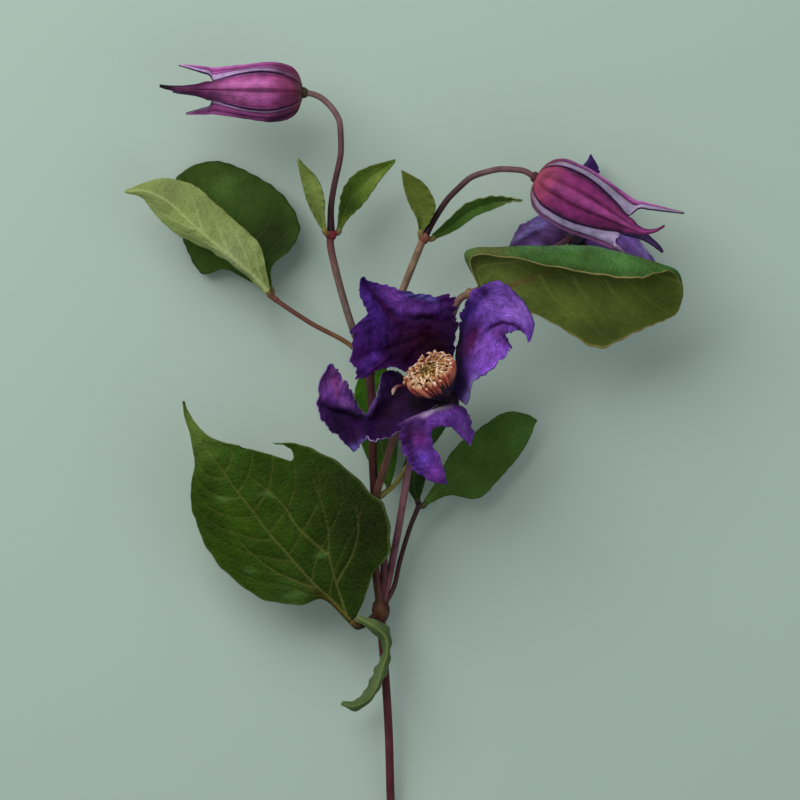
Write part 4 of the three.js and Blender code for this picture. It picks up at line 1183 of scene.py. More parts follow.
@dataclass
class Sepal(Blade):
    """An open flower's sepal: ruffled, with a ragged edge and wrinkled skin."""

    ragged: float = 0.1
    ruffle: float = 0.6
    waves: float = 3.0
    crinkle: float = 0.5

    def outline(self, across: np.ndarray, along: np.ndarray) -> tuple[np.ndarray, np.ndarray]:
        """Makes the edge ragged, more so away from the base and the tip.

        Args:
            across: How far each place is from the left edge to the right, from 0 to 1.
            along: How far each place is from base to tip, from 0 to 1.

        Returns:
            Both shares, moved.
        """
        side = 2 * across - 1
        reach = np.abs(side) ** 5 * np.sin(math.pi * np.clip(along, 0, 1)) ** 0.4
        spots = np.stack([along * 60, np.sign(side) * 7 + self.seed * 3, np.zeros(len(along))], axis=1)
        torn = wander(spots, 2.4, self.seed) + 0.7 * wander(spots, 0.9, self.seed + 4)
        return 0.5 + 0.5 * side * (1 + self.ragged * torn * reach), along

    def relief(self, across: np.ndarray, along: np.ndarray, points: np.ndarray) -> np.ndarray:
        """Adds ruffles along the edge, with finer pleats and wrinkles over them.

        Args:
            across: How far each place is from the left edge to the right, from 0 to 1.
            along: How far each place is from base to tip, from 0 to 1.
            points: The places on the plain sheet, in millimetres.

        Returns:
            One height for each place, in millimetres.
        """
        side = 2 * across - 1
        near_edge = side**4 * np.sin(math.pi * along)
        turn = 2 * math.pi * self.waves * along + math.pi * np.round(across)
        large = self.ruffle * near_edge * np.sin(turn)
        uneven = wander(points, 6.0, self.seed + 7)
        pleats = 0.5 * self.ruffle * side**2 * np.sin(math.pi * along) * np.sin(5.3 * turn + 5 * uneven)
        shade = np.sin(math.pi * np.clip(along, 0, 1)) ** 0.5
        crinkled = wander(points, 4.2, self.seed) + 0.6 * wander(points, 1.8, self.seed + 2)
        return large + pleats + self.crinkle * crinkled * shade


class BudSide(Enum):
    """Which way each sepal of a bud faces, in degrees round its axis from the upper side."""

    TOP = 0
    FRONT = 90
    BOTTOM = 180
    BACK = 270


SLENDER_SIDES = (BudSide.FRONT, BudSide.BACK)


@dataclass(frozen=True)
class BudPaint(Paint):
    """Paint for a bud's sepal, with its ribs, its grooves and its felted margins, a painted highlight along
    a rib and painted shade in the grooves.
    """

    margin: float = 0.1
    margin_tint: str = "#9c83b5"
    groove_shade_tint: str = "#5a1048"
    groove_at: float = 0.36
    rib_highlight_at: float = 0.0
    outline_tint: str = "#2c0c30"
    base_tint: str = "#6a2432"
    tip_tint: str = "#c9a0c8"
    rib_highlight_tint: str = "#b565ad"

    def base(self, across: np.ndarray, along: np.ndarray) -> np.ndarray:
        """The linear colours of the ribs with a painted highlight, the grooves with painted shade, the
        margins and both ends.

        Args:
            across: How far each place is from the left edge to the right, from 0 to 1.
            along: How far each place is from base to tip, from 0 to 1.

        Returns:
            One colour for each place.
        """
        side = np.abs(2 * across - 1)
        colours = np.tile(np.array(linear(self.tint)), (len(across), 1))
        # A painted highlight along the rib, from a little way up the sepal
        rib_highlight = bump_at(side, self.rib_highlight_at, 0.3) * smooth_step(along, 0.1, 0.4)
        colours = blend(colours, self.rib_highlight_tint, 0.75 * rib_highlight)
        # Painted shade down the grooves, fading out towards the tip
        fade = 1 - smooth_step(along, 0.7, 0.95)
        colours = blend(colours, self.groove_shade_tint, 0.85 * fade * bump_at(side, self.groove_at, 0.11))
        width = self.margin * (0.6 + 1.1 * along)
        colours = blend(colours, self.margin_tint, 0.95 * smooth_step(side - 1 + width, -0.03, 0.04))
        colours = blend(colours, self.outline_tint, 0.8 * bump_at(side - 1 + width, -0.05, 0.05))
        colours = blend(colours, self.outline_tint, 0.85 * smooth_step(side, 0.95, 1.0))
        colours = blend(colours, self.base_tint, 0.9 * (1 - smooth_step(along, 0.05, 0.34)))
        return blend(colours, self.tip_tint, 0.9 * smooth_step(along, 0.86, 1.0))


@dataclass
class BudSepal(Blade):
    """One quarter of a bud: ribbed along its length, with a felted margin on both sides."""

    margin: float = 0.1
    groove_at: float = 0.36

    def relief(self, across: np.ndarray, along: np.ndarray, points: np.ndarray) -> np.ndarray:
        """Sinks two long grooves between three rounded ribs, and raises the felted margins.

        Args:
            across: How far each place is from the left edge to the right, from 0 to 1.
            along: How far each place is from base to tip, from 0 to 1.
            points: The places on the plain sheet, in millimetres.

        Returns:
            One height for each place, in millimetres.
        """
        side = np.abs(2 * across - 1)
        fade = smooth_step(along, 0.02, 0.15) * (1 - smooth_step(along, 0.75, 1.0))
        grooves = bump_at(side, self.groove_at, 0.13)
        margin = smooth_step(side, 1 - self.margin * 1.6, 1 - self.margin * 0.6)
        return fade * (0.35 * margin - 0.45 * grooves + 0.12 * wander(points, 2.2, self.seed))


@dataclass
class Bud:
    """A nodding bud of four sepals, round an axis in the spray's plane.

    Each station of the body is how far along the axis it is, how far out the sepals' ribs are there and
    how far out their seams are. Each tip is how far along it ends, how far out, and how far it bends.
    """

    name: str
    base: Place
    heading: Place
    body: list[Station]
    tips: dict[BudSide, Station]
    paint: dict[BudSide, BudPaint]
    cells: tuple[int, int] = (30, 120)
    seam_gap: float = 0.2

    def rows(self, side: BudSide) -> list[Row]:
        """The cross-sections of one sepal, by the same rule as in the part's source.

        Args:
            side: Which of the four sepals.

        Returns:
            Its cross-sections from base to tip.
        """
        forward = Vector(self.heading).normalized()
        upper = Vector((0, 0, 1)).cross(forward)
        upper *= math.copysign(1, upper.y)
        turn = Quaternion(upper.cross(Vector((0, 0, 1))), math.radians(side.value))
        out = turn @ upper
        across = forward.cross(out)
        reach, tip_radius, bend = self.tips[side]
        body_length, body_radius, body_seam = self.body[-1]
        stations = [(far, radius, seam, seam - self.seam_gap, 0.0) for far, radius, seam in self.body]
        for share, width in zip(TIP_SHARES, SLENDER_TIP if side in SLENDER_SIDES else BROAD_TIP):
            radius = body_radius + (tip_radius - body_radius) * share
            half = TIP_HALF_WIDTH + (body_seam - TIP_HALF_WIDTH) * width
            far = body_length + (reach - body_length) * share
            stations.append((far, radius, radius - half, half, bend * share**4))
        aside = across * upper.dot(across)
        rows = []
        for far, radius, edge_out, edge_aside, shift in stations:
            centre = Vector(self.base) + forward * far + aside * shift
            rows.append([list(centre - across * edge_aside + out * edge_out), list(centre + out * radius),
                         list(centre + across * edge_aside + out * edge_out)])
        return rows

    def build(self) -> None:
        """Makes the four sepals."""
        for number, side in enumerate(BudSide):
            BudSepal(
                node=f"{self.name}_{side.name.lower()}_sepal", rows=self.rows(side), cells=self.cells,
                slot=Slot.BUD_MAGENTA, faces=(BUD_SKIN, BUD_LINING), thickness=0.5, seed=number + 1.0,
                paint=(self.paint[side], Paint("#54407a", rim="#3e1a42")), margin=self.paint[side].margin,
                groove_at=self.paint[side].groove_at,
            ).build()


def length_of(route: np.ndarray) -> float:
    """The length of a smooth route, in the route's own unit."""
    places = spline(route, np.linspace(0, 1, LENGTH_SAMPLES))
    return np.linalg.norm(np.diff(places, axis=0), axis=1).sum()


def add_tube(mesh: bmesh.types.BMesh, route: np.ndarray, radii: Callable[[np.ndarray], np.ndarray],
             tints: tuple[str, ...], sides: int, steps: int, flatten: float = 1.0) -> None:
    """Adds one closed round stalk to a mesh: a grid rolled up along a smooth route.

    Args:
        mesh: The mesh to add to, with its tint layer.
        route: Points that the stalk follows, in millimetres.
        radii: Gives the radius for distances along the stalk, in millimetres.
        tints: Colours at even steps along it.
        sides: How many faces it has round it.
        steps: How many faces it has along it.
        flatten: How thick it is upwards against how wide it is.
    """
    tint_layer = mesh.verts.layers.float_color["tint"]
    uv_layer = mesh.loops.layers.uv["UVMap"]
    verts = bmesh.ops.create_grid(mesh, x_segments=sides, y_segments=steps, size=0.5)["verts"]
    flat = np.array([vertex.co[:2] for vertex in verts]) + 0.5
    along = flat[:, 1]
    centres = spline(route, along)
    heading = spline(route, np.minimum(along + NUDGE, 1)) - spline(route, np.maximum(along - NUDGE, 0))
    heading /= np.linalg.norm(heading, axis=1, keepdims=True)
    aside = np.cross(heading, np.array([0.0, 0.0, 1.0]))
    aside /= np.maximum(np.linalg.norm(aside, axis=1, keepdims=True), TINY)
    above = np.cross(aside, heading)
    length = length_of(route)
    radius = radii(along * length)
    turn = 2 * math.pi * flat[:, 0]
    places = centres + aside * (radius * np.sin(turn))[:, None]
    places += above * (flatten * radius * np.cos(turn))[:, None]
    ramp = spline(np.array([linear(code) for code in tints]), along)
    faces = {face for vertex in verts for face in vertex.link_faces}
    for face in faces:
        for loop in face.loops:
            loop[uv_layer].uv = (loop.vert.co.x + 0.5, (loop.vert.co.y + 0.5) * length / 10)
    for number, vertex in enumerate(verts):
        vertex.co = places[number] * MM
        vertex[tint_layer] = np.clip(ramp[number], 0, 1)
    bmesh.ops.remove_doubles(mesh, verts=verts, dist=1e-7)
    edges = {edge for face in faces if face.is_valid for edge in face.edges if edge.is_boundary}
    bmesh.ops.holes_fill(mesh, edges=list(edges), sides=0)


def tube_mesh() -> bmesh.types.BMesh:
    """An empty mesh with the layers that a stalk needs.

    Returns:
        The mesh.
    """
    mesh = bmesh.new()
    mesh.verts.layers.float_color.new("tint")
    mesh.loops.layers.uv.new("UVMap")
    return mesh


@dataclass
class Stalk:
    """One stalk: where it runs, how thick it is, how it swells at both ends, and its colours."""

    route: list[Place]
    radius: float
    tints: tuple[str, ...]
    swell: tuple[float, float] = (0.25, 0.2)
    sides: int = 16
    leaf: list[Row] | None = None
    swell_reach: float = 2.5
    face_length: float = 0.9

    def points(self) -> np.ndarray:
        """Leads the route up from behind the leaf that it carries, if it carries one.

        Returns:
            One row of x, y, z in millimetres for each point of the route.
        """
        if self.leaf is None:
            return np.array(self.route, dtype=float)
        base, ahead = sheet_points(self.leaf, np.array([0.5, 0.5]), np.array([0.0, 0.02]))
        back = (base - ahead) / np.linalg.norm(base - ahead)
        return np.array([*self.route, base + back * (0.4 + self.radius), base - back * 0.3])

    def radii(self, length: float) -> Callable[[np.ndarray], np.ndarray]:
        """Works out how the stalk swells at both ends.

        Args:
            length: The stalk's length in millimetres.

        Returns:
            A function that gives the radius at distances along the stalk.
        """
        start, end = self.swell

        def radius_at(far: np.ndarray) -> np.ndarray:
            """The radius at those distances."""
            ends = start * np.exp(-far / self.swell_reach) + end * np.exp((far - length) / self.swell_reach)
            return self.radius * (1 + ends)

        return radius_at

    def add_to(self, mesh: bmesh.types.BMesh) -> None:
        """Adds the stalk to a mesh.

        Args:
            mesh: The mesh to add to.
        """
        points = self.points()
        length = length_of(points)
        steps = max(6, int(length / self.face_length))
        add_tube(mesh, points, self.radii(length), self.tints, self.sides, steps)


@dataclass
class Node:
    """A swollen joint of the stem."""

    centre: Place
    size: Place
    tint: str
    flush: str = ""
    unevenness: float = 0.16

    def add_to(self, mesh: bmesh.types.BMesh) -> None:
        """Adds the joint to a mesh, as a stretched and uneven ball with a flush of another tint.

        Args:
            mesh: The mesh to add to.
        """
        tint_layer = mesh.verts.layers.float_color["tint"]
        verts = bmesh.ops.create_icosphere(mesh, subdivisions=4, radius=1)["verts"]
        centre, size = Vector(self.centre), Vector(self.size)
        for vertex in verts:
            swell = noise.noise(vertex.co * 2.5 + centre)
            share = min(max(0.5 + 1.6 * noise.noise(vertex.co * 1.7 - centre), 0), 1)
            tint = Vector(linear(self.tint)).lerp(Vector(linear(self.flush or self.tint)), share)
            vertex.co = (centre + vertex.co * size * (1 + self.unevenness * swell)) * MM
            vertex[tint_layer] = tint


# The stem's joints, as in the part's source
LOWER_NODE = (-3.5, 86, 12)
MIDDLE_NODE = (-5.5, 121, 18)
UPPER_NODE = (-7, 161, 22)
LEFT_LEAF_NODE = (-19, 203.5, 25)
RIGHT_LEAF_NODE = (10, 202.5, 28.5)
RIGHT_BRANCH_END = (24, 185, 33)
DARK_FORK = (8.5, 119, 12)
LEFT_BUD_BASE = (-27.5, 247.5, 28)
RIGHT_BUD_BASE = (44.5, 221, 32)
OPEN_FLOWER_CENTRE = (17.5, 151.5, 41)
BACK_FLOWER_CENTRE = (57.5, 203.5, 15)

# How high the axis of the stem's cut end lies, where it rests on one of its faces in the part's source
REST_HEIGHT = 1.35 * math.cos(math.pi / 8)


@dataclass
class Stem:
    """All the stalks of the spray, which run into each other at its joints."""

    main_radius: float = 1.3
    branch_radius: float = 1.15
    petiole_radius: float = 0.75
    bud_stalk_radius: float = 0.95
    flower_stalk_radius: float = 1.2
    receptacle_radius: float = 2.6

    def stalks(self) -> list[Stalk]:
        """Where each stalk runs, as in the part's source.

        Returns:
            The stalks, from the main stem to the smallest leaf stalk.
        """
        dark, mauve = "#2c1014", "#6a434f"
        return [
            Stalk([(0, -3, REST_HEIGHT), (0, 4, REST_HEIGHT), (0, 10, REST_HEIGHT), (0, 15, 1.5),
                   (-0.5, 28, 3.8), (-1, 46.5, 7), (-2, 64, 9.2), (-3, 76, 10.8), LOWER_NODE],
                  self.main_radius, ("#40161c", "#4a1c26", "#4e222a", "#462024"), (0.0, 0.5)),
            Stalk([LOWER_NODE, (-5, 97.5, 14), (-6, 108.5, 16), MIDDLE_NODE, (-6, 133.5, 19.5),
                   (-6, 145.5, 21), UPPER_NODE], self.main_radius,
                  ("#4a3422", "#4a2426", "#3a1a1c", "#40201e", "#44242a")),
            Stalk([LOWER_NODE, (-2.5, 97.5, 13.5), (-3, 108.5, 15.5), MIDDLE_NODE],
                  self.branch_radius, (dark, "#5c3440", "#5c3c42")),
            Stalk([LOWER_NODE, (-1, 96, 12.5), (2, 111.5, 14.5), (5.5, 132, 18), (9, 147.5, 22.5),
                   (15, 166, 28.5), (20, 181.5, 33), RIGHT_BRANCH_END],
                  self.branch_radius, ("#5a343e", mauve, "#74525a", "#6a4650", "#6e5a44")),
            Stalk([UPPER_NODE, (-12, 173.5, 22.5), (-16, 186.5, 23.5), (-19, 199, 24.5), LEFT_LEAF_NODE],
                  self.branch_radius, ("#4a262a", "#645450", "#644844", "#581e28"), (0.2, 0.35)),
            Stalk([UPPER_NODE, (-2, 173, 24), (3.5, 186.5, 26), (8.5, 199, 28), RIGHT_LEAF_NODE],
                  self.branch_radius, ("#4a3030", "#6e564a", "#76604e", "#74503c"), (0.2, 0.3)),
            Stalk([LEFT_LEAF_NODE, (-19, 211.5, 26), (-18, 218.5, 27), (-16, 228, 28), (-16, 235.5, 28),
                   (-16.5, 239, 28), (-18.5, 242.5, 28), (-21.5, 245.5, 28), (-24.5, 247, 28),
                   LEFT_BUD_BASE], self.bud_stalk_radius, ("#1a0a12", "#4e3238", "#6a5254", "#64504a"),
                  (0.5, 0.0)),
            Stalk([RIGHT_LEAF_NODE, (12.5, 207, 29), (15, 211, 29.5), (17.5, 214.5, 30), (21, 218, 30.5),
                   (24.5, 221, 31), (28.5, 222.5, 31.5), (33, 223.5, 32), (37, 223.5, 32), (41, 223, 32),
                   RIGHT_BUD_BASE], self.bud_stalk_radius, ("#200e14", "#3c262c", "#5e4448", "#644448"),
                  (0.45, 0.0)),
            Stalk([MIDDLE_NODE, (-2, 132, 21.5), (2, 143, 27), (8.5, 146.5, 31.5), (14.5, 149, 36),
                   OPEN_FLOWER_CENTRE], self.flower_stalk_radius, ("#54382c", "#644640", "#3a1c2c")),
            Stalk([RIGHT_BRANCH_END, (28.5, 187, 30.5), (34.5, 190.5, 27), (44.5, 195.5, 22),
                   (52.5, 200.5, 17.5), BACK_FLOWER_CENTRE], self.bud_stalk_radius, (mauve, "#5a3a4a")),
            Stalk([LOWER_NODE, (0.5, 93, 11), (2.5, 101.5, 11), (5.5, 111.5, 11.5), DARK_FORK],
                  self.petiole_radius, ("#4a2a30", "#3a2028", "#33232a")),
            Stalk([LOWER_NODE, (-7.5, 82.5, 15.5), (-10.5, 81, 17)], self.petiole_radius + 0.2,
                  ("#42261c", "#2c1a10", "#56461f"), (0.4, 0.2), leaf=LOWER_LEFT_LEAF),
            Stalk([(-9.5, 81.5, 16), (-10.4, 83.4, 17.7)], self.petiole_radius, ("#5a3d26", "#6b6a35")),
            Stalk([UPPER_NODE, (-13, 169, 21), (-25.5, 176, 19), (-37.5, 184, 16.5)], self.petiole_radius,
                  ("#7a6c30", "#5c3c2c", "#5e3c30", "#76683c"), leaf=UPPER_LEFT_LIGHT_LEAFLET),
            Stalk([(-36, 183, 17), (-37.5, 184.5, 15.5)], self.petiole_radius, ("#6e4038", "#4a4a2a"),
                  leaf=UPPER_LEFT_DARK_LEAFLET),
            *(Stalk([joint], self.petiole_radius, tints, leaf=leaf) for joint, tints, leaf in (
                (LEFT_LEAF_NODE, ("#6a2c34", "#6a6a35"), LEFT_NODE_OUTER_LEAF),
                (LEFT_LEAF_NODE, ("#6a2c34", "#5c6a35"), LEFT_NODE_INNER_LEAF),
                (RIGHT_LEAF_NODE, ("#85604e", "#6a6a35"), RIGHT_NODE_OUTER_LEAF),
                (RIGHT_LEAF_NODE, ("#85604e", "#5c6a35"), RIGHT_NODE_INNER_LEAF),
                (RIGHT_BRANCH_END, ("#7a6048", "#7a7040"), RIGHT_FOLDED_LEAF),
                (DARK_FORK, ("#33232a", "#3a4a22"), BACK_RIGHT_LEAF),
                (DARK_FORK, ("#33232a", "#3a4a22"), BACK_SMALL_LEAFLET),
            )),
            Stalk([MIDDLE_NODE, (-3, 122, 15)], self.petiole_radius, ("#5a4a34", "#4a5a2a"),
                  leaf=BACK_MIDDLE_LEAF),
            Stalk([MIDDLE_NODE, (0.5, 125, 15.5), (5, 131.5, 14)], self.petiole_radius,
                  ("#6a6432", "#868444", "#76803e"), leaf=BACK_UPPER_LEAF),
        ]

    def joints(self) -> list[Node]:
        """Where the stem swells: its joints, the buds' collars and the flowers' receptacles.

        Returns:
            The joints.
        """
        return [
            Node(LOWER_NODE, (2.8, 4.1, 2.2), "#4a3020", "#3a141c"),
            Node(MIDDLE_NODE, (1.9, 2.5, 1.9), "#3a1c1c"),
            Node(UPPER_NODE, (1.9, 2.3, 1.8), "#331a1e"),
            Node(LEFT_LEAF_NODE, (1.75, 2, 1.6), "#641e2a"),
            Node(RIGHT_LEAF_NODE, (1.75, 2, 1.6), "#704438"),
            Node(RIGHT_BRANCH_END, (1.5, 1.7, 1.5), "#7a6048"),
            Node(LEFT_BUD_BASE, (1.6, 1.7, 1.6), "#38301f"),
            Node(RIGHT_BUD_BASE, (1.6, 1.7, 1.6), "#482228"),
            Node(OPEN_FLOWER_CENTRE, (3.4, 3.1, 2.8), "#180618"),
            Node(BACK_FLOWER_CENTRE, (self.receptacle_radius,) * 3, "#4a3a4a"),
        ]

    def build(self) -> bpy.types.Object:
        """Makes the stem as one piece.

        Returns:
            The finished piece.
        """
        mesh = tube_mesh()
        for part in (*self.stalks(), *self.joints()):
            part.add_to(mesh)
        mesh.normal_update()
        return write_piece("stem_skin", mesh, (WINE_STEM,), ("stem",))


@dataclass
class StamenHead:
    """The boss of stamens: flat fleshy filaments packed in a spiral, with cream tips at a flat top."""

    node: str
    centre: Place
    facing: Place
    rim: float
    length: float
    count: int
    foot_tint: str = "#2a0a28"
    filament_tints: tuple[str, ...] = ("#b05c48", "#c4735c", "#a04c44")
    tip_tints: tuple[str, ...] = ("#cd9c72", "#e2bf9e", "#b8835a", "#eacfb4")
    inner_tints: tuple[str, ...] = ("#967842", "#785e2a", "#b08a52")
    inner_reach: float = 0.36
    rise: float = 3.0
    thickness: float = 0.4
    flatten: float = 0.7
    strays: tuple[tuple[Place, ...], ...] = ()
    core_tint: str = "#1c0c06"
    inner_filament: str = "#503818"
    ring_filament: str = "#4a2410"
    ring_reach: float = 0.75
    stray_tints: tuple[str, ...] = ("#5a2a30", "#e0bda8")

    @staticmethod
    def uneven(number: int, rate: float, amount: float) -> float:
        """The numbered stamen's own small departure from the rule, the same at every run."""
        return amount * math.sin(rate * number)

    def add_stamen(self, mesh: bmesh.types.BMesh, number: int) -> None:
        """Adds one stamen.

        Args:
            mesh: The head's mesh.
            number: The stamen's number in the spiral.
        """
        spread = math.sqrt((number + 0.5) / self.count)
        angle = number * GOLDEN_ANGLE + self.uneven(number, 5.1, 0.16)
        outer = spread * (self.rim - 0.35) + self.uneven(number, 3.3, 0.3)
        top = self.length + self.uneven(number, 7, 0.6) + self.uneven(number, 2.3, 0.4)
        top += 0.5 * min(max((spread - 0.8) / 0.15, 0), 1)
        lean = self.uneven(number, 4.1, 0.7)
        sway = self.uneven(number, 6.7, 0.75)
        profile = [
            (0.45 * outer, 0.2 * self.length, 0.0), (0.82 * outer, 0.55 * self.length, 0.0),
            (outer, 0.86 * self.length, 0.2 * sway), (outer + 0.3 * lean, top - 0.1, 0.8 * sway),
            (outer - 0.8 + 1.3 * lean, top + 0.3, 1.7 * sway),
        ]
        route = np.array([
            (far * math.sin(angle) + aside * math.cos(angle), height,
             far * math.cos(angle) - aside * math.sin(angle)) for far, height, aside in profile
        ])
        thick = self.thickness + self.uneven(number, 4.7, 0.07)
        swell = self.length * 0.8
        middle = self.filament_tints[number % 3]
        cream = self.tip_tints[(number * 7) % 4]
        if spread < self.inner_reach:
            middle, cream = self.inner_filament, self.inner_tints[number % 3]
        elif spread < self.ring_reach:
            middle = self.ring_filament
        places, widths = [0, 0.6, 0.85, 1.0, 1.12], [1.0, 1.15, 1.25, 1.05, 0.3]
        add_tube(mesh, route, lambda far: thick * np.interp(far / swell, places, widths),
                 (self.foot_tint, self.foot_tint, middle, middle, cream, cream), sides=8, steps=14,
                 flatten=self.flatten)

    def build(self) -> bpy.types.Object:
        """Makes the head in its own upright frame and turns it to face its way.

        Returns:
            The finished piece.
        """
        mesh = tube_mesh()
        core = np.array([(0.0, 0.0, 0.0), (0.0, 0.35 * self.length, 0.0), (0.0, 0.74 * self.length, 0.0)])
        add_tube(mesh, core, lambda far: np.interp(far, [0, 0.74 * self.length], [0.32, 0.84]) * self.rim,
                 (self.foot_tint, self.foot_tint, self.core_tint), sides=32, steps=8)
        for number in range(self.count):
            self.add_stamen(mesh, number)
        axis = Vector(self.facing).normalized()
        turn = Vector((0, 1, 0)).rotation_difference(axis)
        foot = Vector(self.centre) + axis * self.rise
        for vertex in mesh.verts:
            vertex.co = turn @ vertex.co + foot * MM
        for stray in self.strays:
            add_tube(mesh, np.array(stray),
                     lambda far: np.interp(far, [0, 8, 10, 11], [0.35, 0.5, 0.65, 0.3]),
                     (self.foot_tint, *self.stray_tints), sides=8, steps=12, flatten=0.8)
        mesh.normal_update()
        return write_piece(self.node + "_skin", mesh, (POLLEN,), (self.node,))


@dataclass
class Studio:
    """The pale table, the soft light and the camera straight above."""

    floor_side: float = 6.0
    floor_colour: str = "#a0b3ab"
    floor_height: float = -0.0004
    middle: Place = (0.0, 0.15, 0.02)
    lens: float = 300.0
    sensor: float = 36.0

    def floor(self) -> None:
        """Lays the plain pale table just below where the spray rests."""
        mesh = bmesh.new()
        bmesh.ops.create_grid(mesh, x_segments=1, y_segments=1, size=self.floor_side / 2)
        for vertex in mesh.verts:
            vertex.co += Vector((self.middle[0], self.middle[1], self.floor_height))
        data = bpy.data.meshes.new("table")
        mesh.to_mesh(data)
        mesh.free()
        paint = bpy.data.materials.new("matt_painted_table")
        paint.use_nodes = True
        tree = paint.node_tree
        shader = tree.nodes["Principled BSDF"]
        shader.inputs["Base Color"].default_value = linear(self.floor_colour)
        shader.inputs["Roughness"].default_value = 0.9
        shader.inputs["Specular IOR Level"].default_value = 0.1
        data.materials.append(paint)
        table = bpy.data.objects.new("table", data)
        bpy.context.scene.collection.objects.link(table)

    def lamp(self, name: str, place: Place, side: float, power: float, colour: str) -> None:
        """Hangs a soft box that faces the spray.

        Args:
            name: The lamp's name.
            place: Where it hangs, in metres.
            side: The side of its square face, in metres.
            power: Its power in watts.
            colour: The colour of its light.
        """
        data = bpy.data.lights.new(name, "AREA")
        data.shape = "SQUARE"
        data.size = side
        data.energy = power
        data.color = linear(colour)[:3]
        lamp = bpy.data.objects.new(name, data)
        lamp.location = place
        aim = Vector(self.middle) - Vector(place)
        lamp.rotation_mode = "QUATERNION"
        lamp.rotation_quaternion = aim.to_track_quat("-Z", "Y")
        bpy.context.scene.collection.objects.link(lamp)

    def sky(self, colour: str, strength: float) -> None:
        """Fills the shadows with even light.

        Args:
            colour: The light's colour.
            strength: How bright it is.
        """
        world = bpy.data.worlds.new("room")
        world.use_nodes = True
        background = world.node_tree.nodes["Background"]
        background.inputs["Color"].default_value = linear(colour)
        background.inputs["Strength"].default_value = strength
        bpy.context.scene.world = world

    def camera(self) -> None:
        """Looks straight down on the spray, through a long lens that frames what the photograph does."""
        data = bpy.data.cameras.new("camera")
        data.lens = self.lens
        data.sensor_width = self.sensor
        data.clip_start = 0.05
        data.clip_end = 50
        camera = bpy.data.objects.new("camera", data)
        width = PHOTO_SIDE_PX * MM_PER_PX * MM
        far = width * self.lens / self.sensor
        camera.location = (FRAME_CENTRE[0] * MM, FRAME_CENTRE[1] * MM, FOCUS_HEIGHT * MM + far)
        bpy.context.scene.collection.objects.link(camera)
        bpy.context.scene.camera = camera

    def build(self) -> None:
        """Sets the whole studio up."""
        bpy.context.scene.view_settings.view_transform = "Standard"
        self.floor()
        self.lamp("window_light", (-0.45, 0.75, 0.8), side=0.85, power=11.5, colour="#fffaf4")
        self.lamp("fill_light", (0.9, -0.2, 1.1), side=1.2, power=3.0, colour="#f0f4ff")
        self.sky("#eef4f0", strength=0.4)
        self.camera()


TOP_FACES = (LEAF_TOP, LEAF_BACK)
UNDER_GREEN = Paint("#5c6e3a")


def green_leaf(node: str, rows: list[Row], cells: tuple[int, int], paint: Paint, side_veins: int,
               vein_width: float) -> Leaf:
    """A leaf that shows its upper face, over the plain green underside that most leaves share.

    Args:
        node: The CAD node that it stands for.
        rows: Its cross-sections from base to tip.
        cells: How many cells it has across and along.
        paint: What is painted on its upper face.
        side_veins: How many pairs of side veins it has.
        vein_width: The width of its rib, in millimetres.

    Returns:
        The leaf.
    """
    return Leaf(node, rows, cells, Slot.LEAF_UPPER, TOP_FACES, (paint, UNDER_GREEN),
                side_veins=side_veins, vein_width=vein_width)


